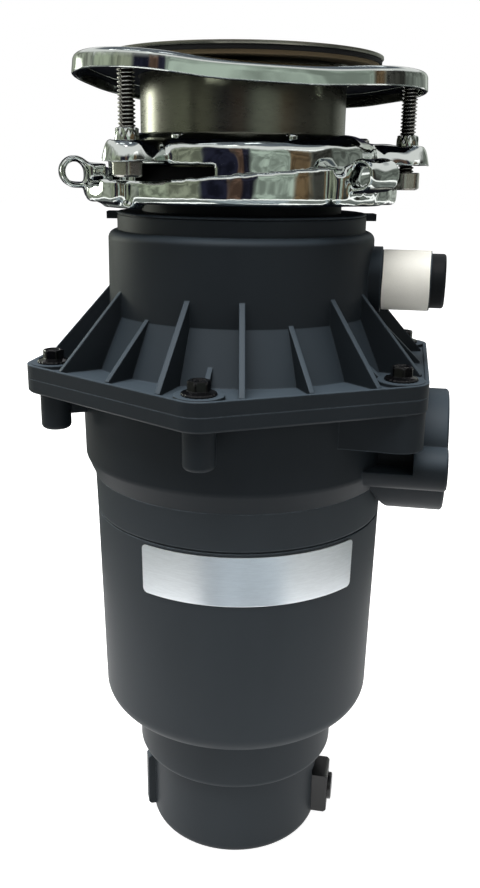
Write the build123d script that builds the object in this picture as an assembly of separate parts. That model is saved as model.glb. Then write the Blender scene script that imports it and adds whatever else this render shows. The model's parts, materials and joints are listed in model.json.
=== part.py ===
from build123d import *
import math
import os

os.makedirs("parts", exist_ok=True)

# A three-bolt garbage disposal, in millimetres.
# Z is up from the resting face, and +X is the way the discharge outlet points.

# Bottom cover, the narrow cup that the disposal stands on
cover_radius = 41.5
cover_wall = 2.5
cover_floor = 3.0
cover_top = 46.0
cover_corner = 4.0
cover_rail_angle = -157.0
cover_rail_proud = 3.6
cover_rail_width = 6.0
cover_boss_circle = 31.0
cover_boss_radius = 4.2
cover_boss_angles = (60, 180, 300)

# Motor shell, a tapered tube with a narrow neck
shell_neck_radius = 47.5
shell_neck_bottom = 41.0
shell_step = 70.0
shell_low_radius = 63.3
shell_seam_radius = 65.3
shell_seam_height = 166.7
shell_top_radius = 65.8
shell_wall = 2.5
shell_step_corner = 8.0

# Nameplate, a thin curved blank
plate_bottom = 143.4
plate_top = 165.4
plate_thickness = 0.5
plate_centre_angle = -74.5
plate_span = 85.4
plate_corner = 2.2

# Lower housing, the grinding chamber and its six-cornered flange
housing_bottom = 184.0
housing_floor_top = 188.0
housing_shoulder = 193.0
housing_shoulder_radius = 69.7
housing_radius = 70.3
housing_bore = 64.5
housing_upper_bore = 67.0
housing_ledge = 207.0
flange_bottom = 225.0
flange_joint = 231.0
flange_top = 235.5
screw_circle = 83.0
screw_angles = (30, 90, 150, 210, 270, 330)
flange_corner = 11.0
boss_radius = 6.3
boss_bottom = 208.5
chamber_hub_bore = 14.0

# Discharge outlet, with a screw boss on each side
outlet_height = 197.0
outlet_radius = 27.0
outlet_bore = 19.5
outlet_reach = 93.0
outlet_boss_radius = 9.2
outlet_boss_offset = 29.0
outlet_screw_bore = 2.6
outlet_pocket_end = 79.0
skirt_bottom = 209.5

# Hopper, the upper housing
hopper_foot_radius = 67.0
hopper_radius = 57.5
hopper_cone_top = 256.5
hopper_shoulder = 290.5
hopper_shoulder_corner = 3.5
hopper_wall = 3.0
hopper_collar_radius = 53.3
hopper_collar_top = 298.0
hopper_neck_radius = 42.6
hopper_neck_top = 304.6
hopper_lip_radius = 51.5
hopper_lip_top = 307.6
throat_radius = 39.8
hopper_lug_angle = 12.0
hopper_lug_reach = 57.6
rib_thickness = 2.2
pad_radius = 9.5
pad_top = 236.9

# Dishwasher inlet tube on the hopper
inlet_height = 271.0
inlet_radius = 12.5
inlet_end_radius = 11.4
inlet_bore = 9.0
inlet_shoulder = 81.5
inlet_reach = 87.5

# Flange screws
screw_shank_radius = 2.0
screw_flange_radius = 6.8
screw_head_across = 8.0

# Motor, a permanent-magnet machine with brushes
motor_bottom = 73.0
motor_can_bottom = 78.0
motor_can_top = 168.0
motor_can_radius = 50.0
motor_can_bore = 48.5
magnet_bore = 42.5
core_radius = 41.8
core_bottom = 106.0
core_top = 152.0
core_slots = 12
shaft_radius = 6.0
shaft_collar_radius = 7.5
bearing_radius = 16.0
bearing_bore = 6.04
bearing_height = 10.0
lower_bearing_bottom = 64.0
upper_bearing_bottom = 170.0
commutator_radius = 14.0
commutator_bottom = 80.0
commutator_top = 92.0
through_bolt_circle = 45.6

# Turntable and its two swinging impellers
turntable_radius = 62.4
turntable_top = 211.5
turntable_thickness = 3.0
impeller_circle = 38.0
impeller_pin_radius = 2.5
impeller_bottom = 211.8
impeller_plate_top = 214.8
impeller_nose_top = 224.0

# Sink flange and the parts clamped under it
rim_radius = 57.15
rim_top = 359.2
sleeve_radius = 42.7
sleeve_sheet = 1.2
sleeve_bottom = 316.0
rim_slope_rise = 1.6
gasket_inner_radius = 47.4
gasket_radius = 56.5
gasket_bottom = 356.2
fibre_bottom = 354.8
fibre_radius = 55.8

# Snap ring, mounting ring and lock ring
snap_ring_bottom = 325.0
snap_ring_top = 327.0
mount_wall_radius = 56.3
mount_sheet = 2.0
mount_wall_bottom = 306.5
mount_slot_top = 316.5
mount_slot_angle = -109.0
mount_slot_span = 38.0
ear_bottom = 317.5
ear_top = 326.0
ear_half_width = 8.8
ear_reach = 78.1
ear_taper = 16.0
lock_band_radius = 61.2
lock_sheet = 2.0
lock_bottom = 302.2
lock_flange_top = 304.3
lock_low_top = 311.0
lock_high_top = 317.2
lock_ramp_middle = 314.0
lock_ramp_slope = 4.9
lock_tab_angle = -64.0
lock_tab_top = 311.0
wrench_ear_angles = (-156, -36, 84)
wrench_ear_height = 313.8
wrench_ear_mean_radius = 5.2
wrench_ear_length = 17.0
lobe_reach = 66.4
lobe_corner = 3.0
lobe_start = -9.5
lobe_end = 27.0

# Mount bolts and support ring. The bolts are advanced unevenly, so the ring leans.
bolt_circle = 68.4
bolt_angles = (-117.8, 2.2, 122.2)
bolt_advances = (4.3, 0.0, 0.9)
bolt_radius = 3.25
bolt_head_across = 11.0
bolt_head_height = 7.0
bolt_lowest_head_top = 314.9
bolt_length = 34.9
tip_gap = 0.42
support_corner_circle = 42.0
support_corner_radius = 34.0
support_corner_angle = -129.0
support_sheet = 1.5
support_depth = 7.1
support_bend_start = 44.5
support_bend = 5.0
support_bore = 43.4

# Overload protector and its reset button
protector_reach = 48.3
protector_half_width = 8.0
protector_bottom = 4.0
protector_top = 25.0
button_radius = 6.5
button_height = 14.0
button_proud = 1.9


def turned(points, angle=360):
    """Turns an outline of (radius, height) points about the Z axis."""
    outline = Plane.XZ * make_face(Polyline(*points, close=True))
    return revolve(outline, Axis.Z, angle)


def ring(inner, outer, bottom, top):
    """A flat ring between two heights."""
    return Pos(0, 0, bottom) * extrude(Circle(outer) - Circle(inner), top - bottom)


def disc(radius, bottom, top):
    """A round disc or rod between two heights."""
    return Pos(0, 0, bottom) * extrude(Circle(radius), top - bottom)


def block(low, high):
    """A box between two corners."""
    size = [b - a for a, b in zip(low, high)]
    middle = [(a + b) / 2 for a, b in zip(low, high)]
    return Pos(*middle) * Box(*size)


def around(angle, radius=0.0, height=0.0):
    """A place on a circle about Z, turned to face outward."""
    return Rot(0, 0, angle) * Pos(radius, 0, height)


def rod_along_x(radius, start, end, side=0.0, height=0.0):
    """A round rod that runs along X."""
    return Pos(start, side, height) * Rot(0, 90, 0) * extrude(Circle(radius), end - start)


def circle_edges(solid, radius, height, slack=0.05):
    """The round edges about Z with that radius at that height."""
    return [
        edge
        for edge in solid.edges().filter_by(GeomType.CIRCLE)
        if abs(edge.radius - radius) < slack
        and abs(edge.arc_center.Z - height) < slack
        and math.hypot(edge.arc_center.X, edge.arc_center.Y) < slack
    ]


def rounded(solid, radius, height, size):
    """The solid with its round edge at that radius and height filleted."""
    return fillet(circle_edges(solid, radius, height), size)


def cut_arc(inner, outer, bottom, top, middle_angle, span):
    """A piece of a flat ring that spans part of a turn."""
    piece = turned([(inner, bottom), (outer, bottom), (outer, top), (inner, top)], span)
    return Rot(0, 0, middle_angle - span / 2) * piece


def shell_radius_at(height):
    """The motor shell's outer radius on its tapered wall."""
    share = (height - shell_step) / (shell_seam_height - shell_step)
    return shell_low_radius + share * (shell_seam_radius - shell_low_radius)


def flange_outline(corner=flange_corner):
    """The six-cornered flange outline, with a round corner at each screw."""
    corners = [Pos(*(around(a, screw_circle).position)) * Circle(corner) for a in screw_angles]
    return make_hull([edge for round_corner in corners for edge in round_corner.edges()])


def motor_shell():
    inner_seam = shell_seam_radius - shell_wall
    shell = turned(
        [
            (cover_radius + 0.3, shell_neck_bottom),
            (shell_neck_radius, shell_neck_bottom),
            (shell_neck_radius, shell_step),
            (shell_low_radius, shell_step),
            (shell_seam_radius, shell_seam_height),
            (shell_top_radius, housing_bottom),
            (shell_top_radius - shell_wall, housing_bottom),
            (inner_seam, shell_seam_height),
            (shell_low_radius - shell_wall, motor_bottom),
            (shell_neck_radius - shell_wall, motor_bottom),
            (shell_neck_radius - shell_wall, shell_neck_bottom + 3),
            (cover_radius + 0.3, shell_neck_bottom + 3),
        ]
    )
    shell = rounded(shell, shell_neck_radius, shell_neck_bottom, 2.8)
    shell = rounded(shell, shell_low_radius, shell_step, shell_step_corner)
    shell = rounded(shell, shell_low_radius - shell_wall, motor_bottom, shell_step_corner - 2)
    shell = rounded(shell, shell_neck_radius, shell_step, 1.0)
    seam = ring(shell_seam_radius - 0.7, shell_seam_radius + 3, shell_seam_height, shell_seam_height + 1)
    return shell - seam


def bottom_cover():
    cup = disc(cover_radius, 0, cover_top)
    cup = rounded(cup, cover_radius, 0, cover_corner)
    cup -= disc(cover_radius - cover_wall, cover_floor, cover_top + 1)
    for angle in cover_boss_angles:
        cup += around(angle, cover_boss_circle) * disc(cover_boss_radius, cover_floor, cover_top)
        cup -= around(angle, cover_boss_circle) * disc(2.1, -1, cover_top + 1)
        cup -= around(angle, cover_boss_circle) * disc(3.9, -1, cover_floor)
    rail = block(
        (cover_radius - 1.5, -cover_rail_width / 2, 5),
        (cover_radius + cover_rail_proud, cover_rail_width / 2, 33),
    )
    rail = chamfer(rail.edges().filter_by(Axis.Y).group_by(Axis.X)[-1], 1.2)
    cup += Rot(0, 0, cover_rail_angle) * rail
    window_side = protector_half_width + 0.3
    cup -= block((cover_radius - 6, -window_side, 3.7), (cover_radius + 2, window_side, 28))
    gland_seat = Rot(0, 0, 90) * rod_along_x(11, cover_radius - 4, cover_radius + 1, 0, 20)
    cup += gland_seat - disc(cover_radius - cover_wall, 0, cover_top)
    cup -= Rot(0, 0, 90) * rod_along_x(7.2, cover_radius - 8, cover_radius + 3, 0, 20)
    for x, y in ((-18, -14), (14, -14)):
        cup += Pos(x, y) * disc(2.5, cover_floor, 14)
    return cup


def cover_screws():
    screw = disc(3.6, 0.6, cover_floor) + disc(1.9, cover_floor, 62)
    screw -= block((-2.6, -0.4, 0), (2.6, 0.4, 1.4))
    screw -= block((-0.4, -2.6, 0), (0.4, 2.6, 1.4))
    return [around(angle, cover_boss_circle) * screw for angle in cover_boss_angles]


def power_gland():
    gland = rod_along_x(10, cover_radius + 1, cover_radius + 4, 0, 20)
    gland = chamfer(gland.edges().group_by(Axis.X)[-1], 1.0)
    gland += rod_along_x(7.0, cover_radius - 7, cover_radius + 1, 0, 20)
    gland -= rod_along_x(3.8, cover_radius - 8, cover_radius + 5, 0, 20)
    return Rot(0, 0, 90) * gland


def rectifier_board():
    board = block((-24, -22, 14), (20, 10, 15.6))
    board -= Pos(-18, -14) * disc(1.2, 13, 17)
    board -= Pos(14, -14) * disc(1.2, 13, 17)
    board += block((-12, -8, 15.6), (4, 8, 22))
    for x in (-14, -8, -2, 4):
        board += Pos(x, -18) * disc(1.6, 15.6, 20)
    return board


def overload_protector():
    body = block(
        (26, -protector_half_width, protector_bottom),
        (protector_reach, protector_half_width, protector_top),
    )
    body = chamfer(body.edges().filter_by(Axis.Y).group_by(Axis.X)[-1], 1.2)
    body -= rod_along_x(button_radius + 0.3, protector_reach - 4, protector_reach + 1, 0, button_height)
    body -= rod_along_x(2.8, protector_reach - 14, protector_reach, 0, button_height)
    for side in (-4, 4):
        body += block((20, side - 0.4, 10), (26, side + 0.4, 18))
    return body


def reset_button():
    head_start = protector_reach - 2.1
    button = rod_along_x(button_radius, head_start, protector_reach + button_proud, 0, button_height)
    button = fillet(button.edges().group_by(Axis.X)[-1], 0.6)
    button += rod_along_x(2.5, head_start - 8, head_start, 0, button_height)
    return button


def nameplate():
    low = shell_radius_at(plate_bottom) + 0.05
    high = shell_radius_at(plate_top) + 0.05
    plate = turned(
        [
            (low, plate_bottom),
            (low + plate_thickness, plate_bottom),
            (high + plate_thickness, plate_top),
            (high, plate_top),
        ],
        plate_span,
    )
    corners = plate.edges().filter_by(lambda edge: abs(edge.length - plate_thickness) < 0.01)
    plate = fillet(corners, plate_corner)
    return Rot(0, 0, plate_centre_angle - plate_span / 2) * plate


def screw_boss(angle):
    boss = around(angle, screw_circle) * disc(boss_radius, boss_bottom, flange_bottom)
    boss = fillet(boss.edges().group_by(Axis.Z)[0], 2.0)
    web = Rot(0, 0, angle) * block(
        (housing_bore + 3, -1.5, boss_bottom + 6), (screw_circle - 2, 1.5, flange_bottom)
    )
    return boss + web


def outlet_skirt(side):
    """The wall that joins a flange corner to the outlet, on one side."""
    corner = Pos(*(around(30 * side, screw_circle).position)) * Circle(flange_corner - 0.6)
    wall = Pos(*(around(44 * side, 60).position)) * Circle(8)
    middle = Pos(68, 14 * side) * Circle(8)
    edges = [edge for shape in (corner, wall, middle) for edge in shape.edges()]
    skirt = Pos(0, 0, skirt_bottom) * extrude(make_hull(edges), flange_bottom - skirt_bottom)
    return skirt


def outlet_spigot():
    """The outlet pipe with its two side bosses, before the bore is cut."""
    pipe = rod_along_x(outlet_radius, 55, outlet_reach, 0, outlet_height)
    pipe = chamfer(pipe.edges().group_by(Axis.X)[-1], 0.8)
    for side in (-1, 1):
        offset = side * outlet_boss_offset
        boss = rod_along_x(outlet_boss_radius, 45, outlet_reach, offset, outlet_height)
        boss = chamfer(boss.edges().group_by(Axis.X)[-1], 0.8)
        pocket_near, pocket_far = sorted((side * 25.5, side * 45))
        pocket = block(
            (40, pocket_near, outlet_height - 0.5),
            (outlet_pocket_end, pocket_far, outlet_height + outlet_boss_radius - 1.6),
        )
        pipe += boss - pocket
    relief = turned(
        [
            (0, housing_bottom - 20),
            (shell_top_radius + 6.5, housing_bottom - 20),
            (shell_top_radius + 0.4, housing_bottom),
            (0, housing_bottom),
        ]
    )
    return pipe - relief


def lower_housing():
    body = turned(
        [
            (0, housing_bottom),
            (shell_top_radius, housing_bottom),
            (housing_shoulder_radius, housing_shoulder),
            (housing_radius, flange_joint),
            (0, flange_joint),
        ]
    )
    body = rounded(body, housing_shoulder_radius, housing_shoulder, 5)
    body += outlet_spigot()
    for side in (-1, 1):
        body += outlet_skirt(side)
    flange = Pos(0, 0, flange_bottom) * extrude(flange_outline(), flange_joint - flange_bottom)
    flange = chamfer(flange.edges().group_by(Axis.Z)[0], 0.8)
    body += flange
    for angle in screw_angles:
        if angle not in (30, 330):
            body += screw_boss(angle)
    body -= disc(housing_bore, housing_floor_top, housing_ledge)
    body -= disc(housing_upper_bore, housing_ledge, flange_joint + 1)
    body += ring(chamber_hub_bore, chamber_hub_bore + 4, housing_floor_top, housing_floor_top + 3)
    body -= disc(chamber_hub_bore, housing_bottom - 1, housing_floor_top + 1)
    for angle in screw_angles:
        body -= around(angle, screw_circle) * disc(screw_shank_radius + 0.05, boss_bottom + 3, 240)
    body -= rod_along_x(outlet_bore, 72, outlet_reach + 1, 0, outlet_height)
    passage = Pos(60, 0, (housing_floor_top + housing_ledge) / 2) * Rot(0, 90, 0)
    mouth = RectangleRounded(housing_ledge - housing_floor_top - 1, 34, 4)
    body -= passage * extrude(mouth, 13)
    for side in (-1, 1):
        offset = side * outlet_boss_offset
        body -= rod_along_x(outlet_screw_bore, outlet_reach - 13, outlet_reach + 1, offset, outlet_height)
    for angle in (0, 180):
        body -= around(angle, through_bolt_circle) * disc(1.85, housing_bottom - 1, housing_floor_top - 1)
    return body


def flange_gasket():
    return ring(housing_upper_bore + 0.6, housing_upper_bore + 3.2, flange_joint - 1.5, flange_joint)


def gasket_groove():
    return ring(housing_upper_bore + 0.5, housing_upper_bore + 3.3, flange_joint - 1.5, flange_joint + 1)


def hopper_rib(angle, foot, top_height, thickness):
    """A thin triangular rib from the hopper wall down to the flange."""
    outline = Plane.XZ * make_face(
        Polyline(
            (hopper_radius - 2, flange_top - 1),
            (foot, flange_top - 1),
            (foot, flange_top + 0.8),
            (hopper_radius - 0.3, top_height),
            (hopper_radius - 2, top_height),
            close=True,
        )
    )
    return Rot(0, 0, angle) * extrude(outline, thickness / 2, both=True)


def hopper_ribs():
    ribs = []
    for angle in screw_angles:
        for turn in (-10.8, 10.8):
            ribs.append(hopper_rib(angle + turn, 84.5, 267, rib_thickness))
        ribs.append(hopper_rib(angle + 30, 79.5, 258, rib_thickness - 0.2))
        ribs.append(hopper_rib(angle, screw_circle - pad_radius + 0.5, 247, rib_thickness - 0.2))
    return ribs


def hopper():
    flange = Pos(0, 0, flange_joint) * extrude(flange_outline(), flange_top - flange_joint)
    lip_height = 1.1
    lip = extrude(flange_outline() - offset(flange_outline(), -1.6), lip_height)
    body = flange + Pos(0, 0, flange_top) * lip
    for angle in screw_angles:
        body += around(angle, screw_circle) * disc(pad_radius, flange_top, pad_top)
    bell = turned(
        [
            (0, flange_joint),
            (hopper_foot_radius, flange_joint),
            (hopper_foot_radius, flange_top),
            (hopper_radius, hopper_cone_top),
            (hopper_radius - 0.3, hopper_shoulder),
            (hopper_collar_radius, hopper_shoulder),
            (hopper_collar_radius, hopper_collar_top),
            (hopper_neck_radius, hopper_collar_top),
            (hopper_neck_radius, hopper_neck_top),
            (hopper_lip_radius, hopper_neck_top),
            (hopper_lip_radius, hopper_lip_top),
            (0, hopper_lip_top),
        ]
    )
    bell = rounded(bell, hopper_radius - 0.3, hopper_shoulder, hopper_shoulder_corner)
    bell = rounded(bell, hopper_collar_radius, hopper_collar_top, 0.8)
    bell -= ring(hopper_collar_radius - 0.5, hopper_collar_radius + 1, 296.7, 297.2)
    body += bell
    for rib in hopper_ribs():
        body += rib
    tube = rod_along_x(inlet_radius, 45, inlet_shoulder, 0, inlet_height)
    tube += rod_along_x(inlet_radius + 1.3, 45, 61, 0, inlet_height)
    tube_end = rod_along_x(inlet_end_radius, inlet_shoulder - 1, inlet_reach, 0, inlet_height)
    tube_end = fillet(tube_end.edges().group_by(Axis.X)[-1], 1.2)
    body += tube + tube_end
    lug = block((48, -4.5, 294.7), (hopper_lug_reach, 4.5, 297.7))
    for turn in (0, 180):
        body += Rot(0, 0, hopper_lug_angle + turn) * lug
    body -= hopper_hollow()
    body -= rod_along_x(inlet_bore, 58.5, inlet_reach + 1, 0, inlet_height)
    for angle in screw_angles:
        body -= around(angle, screw_circle) * disc(screw_shank_radius + 0.3, flange_joint - 1, pad_top + 1)
    return body


def hopper_hollow():
    """The open space inside the hopper."""
    return turned(
        [
            (0, flange_joint - 1),
            (63.0, flange_joint - 1),
            (63.0, flange_top),
            (hopper_radius - hopper_wall, hopper_cone_top),
            (hopper_radius - hopper_wall - 0.3, hopper_shoulder - 9),
            (throat_radius, hopper_shoulder - 1),
            (throat_radius, hopper_lip_top + 1),
            (0, hopper_lip_top + 1),
        ]
    )


def inlet_label():
    sleeve = rod_along_x(inlet_radius + 0.3, 61.3, inlet_shoulder - 0.3, 0, inlet_height)
    return sleeve - rod_along_x(inlet_radius + 0.02, 60, inlet_shoulder + 1, 0, inlet_height)


def flange_screws():
    head = disc(screw_flange_radius, pad_top, pad_top + 1.4)
    head = chamfer(head.edges().group_by(Axis.Z)[-1], 0.6)
    cap = RegularPolygon(screw_head_across / 2, 6, major_radius=False)
    head += Pos(0, 0, pad_top + 1.4) * extrude(cap, 4.2)
    head = chamfer(head.faces().sort_by(Axis.Z)[-1].edges(), 0.5)
    for turn in (0, 90):
        head -= Rot(0, 0, turn) * block((-2.4, -0.55, pad_top + 3), (2.4, 0.55, pad_top + 7))
    screw = head + disc(screw_shank_radius, boss_bottom + 5, pad_top)
    return [around(angle, screw_circle) * screw for angle in screw_angles]


def grind_ring():
    body = ring(63.3, housing_upper_bore - 0.05, housing_ledge, 230)
    body -= ring(60, 64.6, 214, 231)
    notches = [around(k * 15) * block((60, -1.6, 205), (65.4, 1.6, 212)) for k in range(24)]
    return body - notches


def shaft_seal():
    body = turned(
        [
            (shaft_radius + 0.35, housing_bottom),
            (chamber_hub_bore, housing_bottom),
            (chamber_hub_bore, housing_floor_top + 1),
            (shaft_radius + 3, housing_floor_top + 1),
            (shaft_radius + 0.35, housing_floor_top + 4),
        ]
    )
    return body


def turntable():
    under = turntable_top - turntable_thickness
    plate = disc(turntable_radius, under, turntable_top)
    plate = rounded(plate, turntable_radius, turntable_top, 0.8)
    plate += ring(turntable_radius - 3, turntable_radius, under - 3, under + 1)
    plate += disc(12, under - 9, under)
    plate -= disc(shaft_radius + 0.02, under - 10, turntable_top + 1)
    for k in range(12):
        plate -= around(15 + k * 30, 52) * disc(2.4, under - 4, turntable_top + 1)
    for k in range(8):
        plate -= around(22.5 + k * 45, 26) * disc(2.2, under - 1, turntable_top + 1)
    for angle in (0, 180):
        plate -= around(angle, impeller_circle) * disc(impeller_pin_radius + 0.02, 200, 215)
    return plate


def impeller(angle):
    """A swinging lug with a tall nose at its outer end."""
    foot = make_hull((Circle(8).edges() + (Pos(15, 3) * Circle(5)).edges()))
    plate = Pos(0, 0, impeller_bottom) * extrude(foot, impeller_plate_top - impeller_bottom)
    nose = make_hull((Pos(8, 6) * Circle(2)).edges() + (Pos(16, 3) * Circle(4)).edges())
    plate += Pos(0, 0, impeller_bottom) * extrude(nose, impeller_nose_top - impeller_bottom)
    plate = fillet(plate.faces().sort_by(Axis.Z)[-1].edges(), 1.0)
    plate -= disc(impeller_pin_radius + 0.06, 205, 230)
    return around(angle, impeller_circle) * plate


def impeller_pins():
    under = turntable_top - turntable_thickness
    pin = disc(impeller_pin_radius, under - 1.5, impeller_plate_top + 1.5)
    pin += disc(4.6, under - 2.5, under)
    pin += disc(4.8, impeller_plate_top + 0.3, impeller_plate_top + 2.3)
    return [around(angle, impeller_circle) * pin for angle in (0, 180)]


def turntable_nut():
    nut = Pos(0, 0, turntable_top) * extrude(RegularPolygon(9, 6, major_radius=False), 7)
    nut = chamfer(nut.faces().sort_by(Axis.Z)[-1].edges(), 0.8)
    return nut - disc(5.02, 205, 225)


def motor_shaft():
    return turned(
        [
            (0, 59),
            (shaft_radius, 59),
            (shaft_radius, lower_bearing_bottom + bearing_height + 0.2),
            (shaft_collar_radius, lower_bearing_bottom + bearing_height + 0.2),
            (shaft_collar_radius, upper_bearing_bottom - 0.2),
            (shaft_radius, upper_bearing_bottom - 0.2),
            (shaft_radius, turntable_top),
            (5.0, turntable_top),
            (5.0, 221),
            (4.2, 222),
            (0, 222),
        ]
    )


def bearing(bottom):
    """A ball bearing drawn as one ring with its shield recesses."""
    body = ring(bearing_bore, bearing_radius, bottom, bottom + bearing_height)
    for start in (bottom - 0.5, bottom + bearing_height - 0.5):
        body -= ring(9, 13.5, start, start + 1)
    return body


def armature_core():
    lamination = Circle(core_radius) - Circle(shaft_collar_radius + 0.02)
    for k in range(core_slots):
        slot = around(k * 360 / core_slots)
        lamination -= slot * Pos(32, 0) * Circle(4.6)
        lamination -= slot * Pos(39, 0) * Rectangle(10, 2.2)
    return Pos(0, 0, core_bottom) * extrude(lamination, core_top - core_bottom)


def armature_windings():
    coils = ring(13, 37, core_bottom - 11, core_bottom)
    coils = rounded(coils, 37, core_bottom - 11, 5)
    upper = ring(11, 37, core_top, core_top + 10)
    upper = rounded(upper, 37, core_top + 10, 5)
    coils += upper
    for k in range(core_slots):
        coils += around(k * 360 / core_slots, 32) * disc(4.3, core_bottom - 2, core_top + 2)
    return coils


def commutator():
    body = ring(shaft_collar_radius + 0.02, commutator_radius, commutator_bottom, commutator_top)
    for k in range(core_slots):
        angle = k * 360 / core_slots
        body -= Rot(0, 0, angle) * block((12.8, -0.35, commutator_bottom), (16, 0.35, commutator_top - 1.5))
    return body


def carbon_brushes():
    brush = block((commutator_radius + 0.3, -3, 82), (30, 3, 90))
    return [Rot(0, 0, angle) * brush for angle in (90, 270)]


def brush_holders():
    holder = block((18, -5, motor_can_bottom), (38, 5, 92))
    holder -= block((17, -3.05, 81.95), (36, 3.05, 90.05))
    holder -= block((22, -1.5, 89), (34, 1.5, 93))
    return [Rot(0, 0, angle) * holder for angle in (90, 270)]


def motor_magnets():
    return [
        cut_arc(magnet_bore, motor_can_bore - 0.05, 98, 160, angle, 150) for angle in (90, 270)
    ]


def motor_can():
    can = ring(motor_can_bore, motor_can_radius, motor_can_bottom, motor_can_top)
    for k in range(4):
        can -= Rot(0, 0, 45 + 90 * k) * block((45, -4, 84), (52, 4, 90))
    return can


def lower_end_bell():
    hub_bottom = lower_bearing_bottom - 2
    bell = disc(motor_can_radius, motor_bottom, motor_can_bottom)
    bell += disc(bearing_radius + 3.5, hub_bottom, motor_bottom)
    bell -= disc(bearing_radius, lower_bearing_bottom, motor_can_bottom + 1)
    bell -= disc(9, hub_bottom - 1, lower_bearing_bottom + 1)
    for angle in cover_boss_angles:
        bell += around(angle, cover_boss_circle) * disc(cover_boss_radius, cover_top, motor_bottom)
        bell -= around(angle, cover_boss_circle) * disc(1.95, cover_top - 1, 64)
        bell += Rot(0, 0, angle) * block((17, -1.5, hub_bottom + 1), (28, 1.5, motor_bottom))
    for angle in (0, 180):
        bell -= around(angle, through_bolt_circle) * disc(1.95, motor_bottom - 1, motor_can_bottom + 1)
        bell -= around(angle, through_bolt_circle) * disc(3.5, motor_bottom - 1, motor_bottom + 2.5)
    return bell


def upper_end_bell():
    bell = turned(
        [
            (0, motor_can_top),
            (motor_can_radius, motor_can_top),
            (motor_can_radius, 174),
            (59, 179),
            (59, housing_bottom),
            (0, housing_bottom),
        ]
    )
    bell -= disc(bearing_radius, motor_can_top - 1, upper_bearing_bottom + bearing_height)
    bell -= disc(9, motor_can_top - 1, housing_bottom + 1)
    bell -= ring(20, 44, motor_can_top - 1, 172)
    for angle in (0, 180):
        bell -= around(angle, through_bolt_circle) * disc(1.95, motor_can_top - 1, housing_bottom + 1)
    return bell


def through_bolts():
    bolt = disc(1.8, motor_bottom + 1, housing_floor_top - 2)
    bolt += disc(3.4, motor_bottom + 0.2, motor_bottom + 2.4)
    return [around(angle, through_bolt_circle) * bolt for angle in (0, 180)]


def bolt_head_top(advance):
    """The height of a mount bolt head's top face."""
    return bolt_lowest_head_top + advance


def mount_bolts():
    bolts = []
    for angle, advance in zip(bolt_angles, bolt_advances):
        top = bolt_head_top(advance)
        hexagon = RegularPolygon(bolt_head_across / 2, 6, major_radius=False, rotation=30)
        head = Pos(0, 0, top - bolt_head_height) * extrude(hexagon, bolt_head_height)
        head = chamfer(head.faces().sort_by(Axis.Z)[0].edges(), 0.6)
        shank = disc(bolt_radius, top, top + bolt_length)
        shank = chamfer(shank.edges().group_by(Axis.Z)[-1], 0.8)
        bolts.append(around(angle, bolt_circle) * (head + shank))
    return bolts


def bolt_collars():
    collar = ring(bolt_radius + 0.07, 4.6, ear_top - 2, ear_top + 3.5)
    collar = chamfer(collar.edges().group_by(Axis.Z)[-1], 0.5)
    return [around(angle, bolt_circle) * collar for angle in bolt_angles]


def support_lean():
    """The place of the support ring on the three uneven bolt tips."""
    tips = [bolt_head_top(advance) + bolt_length for advance in bolt_advances]
    factor = 2 / (3 * bolt_circle)
    slope_x = factor * sum(t * math.cos(math.radians(a)) for t, a in zip(tips, bolt_angles))
    slope_y = factor * sum(t * math.sin(math.radians(a)) for t, a in zip(tips, bolt_angles))
    lean = math.degrees(math.atan(math.hypot(slope_x, slope_y)))
    high_side = math.degrees(math.atan2(slope_y, slope_x))
    hinge_line = high_side - 90
    height = sum(tips) / len(tips) + support_sheet + tip_gap - support_rise(bolt_circle)
    return Pos(0, 0, height) * Rot(0, 0, hinge_line) * Rot(lean, 0, 0) * Rot(0, 0, -hinge_line)


def support_rise(radius):
    """How far the bent corner of the support ring lifts the bolt there."""
    reach = radius * math.cos(math.radians(support_corner_angle - bolt_angles[0])) - support_bend_start
    return reach * math.sin(math.radians(support_bend))


def support_outline():
    corners = [
        Pos(*(around(support_corner_angle + 120 * k, support_corner_circle).position))
        * Circle(support_corner_radius)
        for k in range(3)
    ]
    return make_hull([edge for corner in corners for edge in corner.edges()])


def support_ring():
    body = Pos(0, 0, -support_depth) * extrude(support_outline(), support_depth)
    body = fillet(body.edges().group_by(Axis.Z)[-1], 2.2)
    inside = offset(support_outline(), -support_sheet)
    body -= Pos(0, 0, -support_depth) * extrude(inside, support_depth - support_sheet)
    body -= disc(support_bore, -support_depth - 1, 1)
    for k in range(3):
        corner_way = Rot(0, 0, support_corner_angle + 120 * k)
        beyond = corner_way * block((support_bend_start, -60, -20), (100, 60, 20))
        hinge = corner_way * Pos(support_bend_start, 0, -support_depth)
        bend = hinge * Rot(0, -support_bend, 0) * hinge.inverse()
        body = (body - beyond) + bend * (body & beyond)
    return support_lean() * body


def sink_flange():
    half = sleeve_sheet / 2
    middle = FilletPolyline(
        (sleeve_radius - half, sleeve_bottom),
        (sleeve_radius - half, rim_top - half - rim_slope_rise),
        (rim_radius, rim_top - half),
        radius=5.0,
    )
    body = revolve(Plane.XZ * trace(middle, sleeve_sheet), Axis.Z)
    low_edge = body.edges().filter_by(GeomType.CIRCLE).filter_by(lambda e: e.radius > rim_radius - 0.1)
    body = chamfer(low_edge.sort_by(Axis.Z)[0], 0.5)
    groove = ring(sleeve_radius - 0.5, sleeve_radius + 1, snap_ring_bottom - 0.1, snap_ring_top + 0.1)
    return body - groove


def rim_underside(radius):
    """The height of the sloping rim's lower face, with the gasket's clearance taken off."""
    share = (radius - sleeve_radius) / (rim_radius - sleeve_radius)
    return rim_top - sleeve_sheet - rim_slope_rise * (1 - share) - 0.07


def rubber_gasket():
    return turned(
        [
            (gasket_inner_radius, gasket_bottom),
            (gasket_radius, gasket_bottom),
            (gasket_radius, rim_underside(gasket_radius)),
            (gasket_inner_radius, rim_underside(gasket_inner_radius)),
        ]
    )


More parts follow.
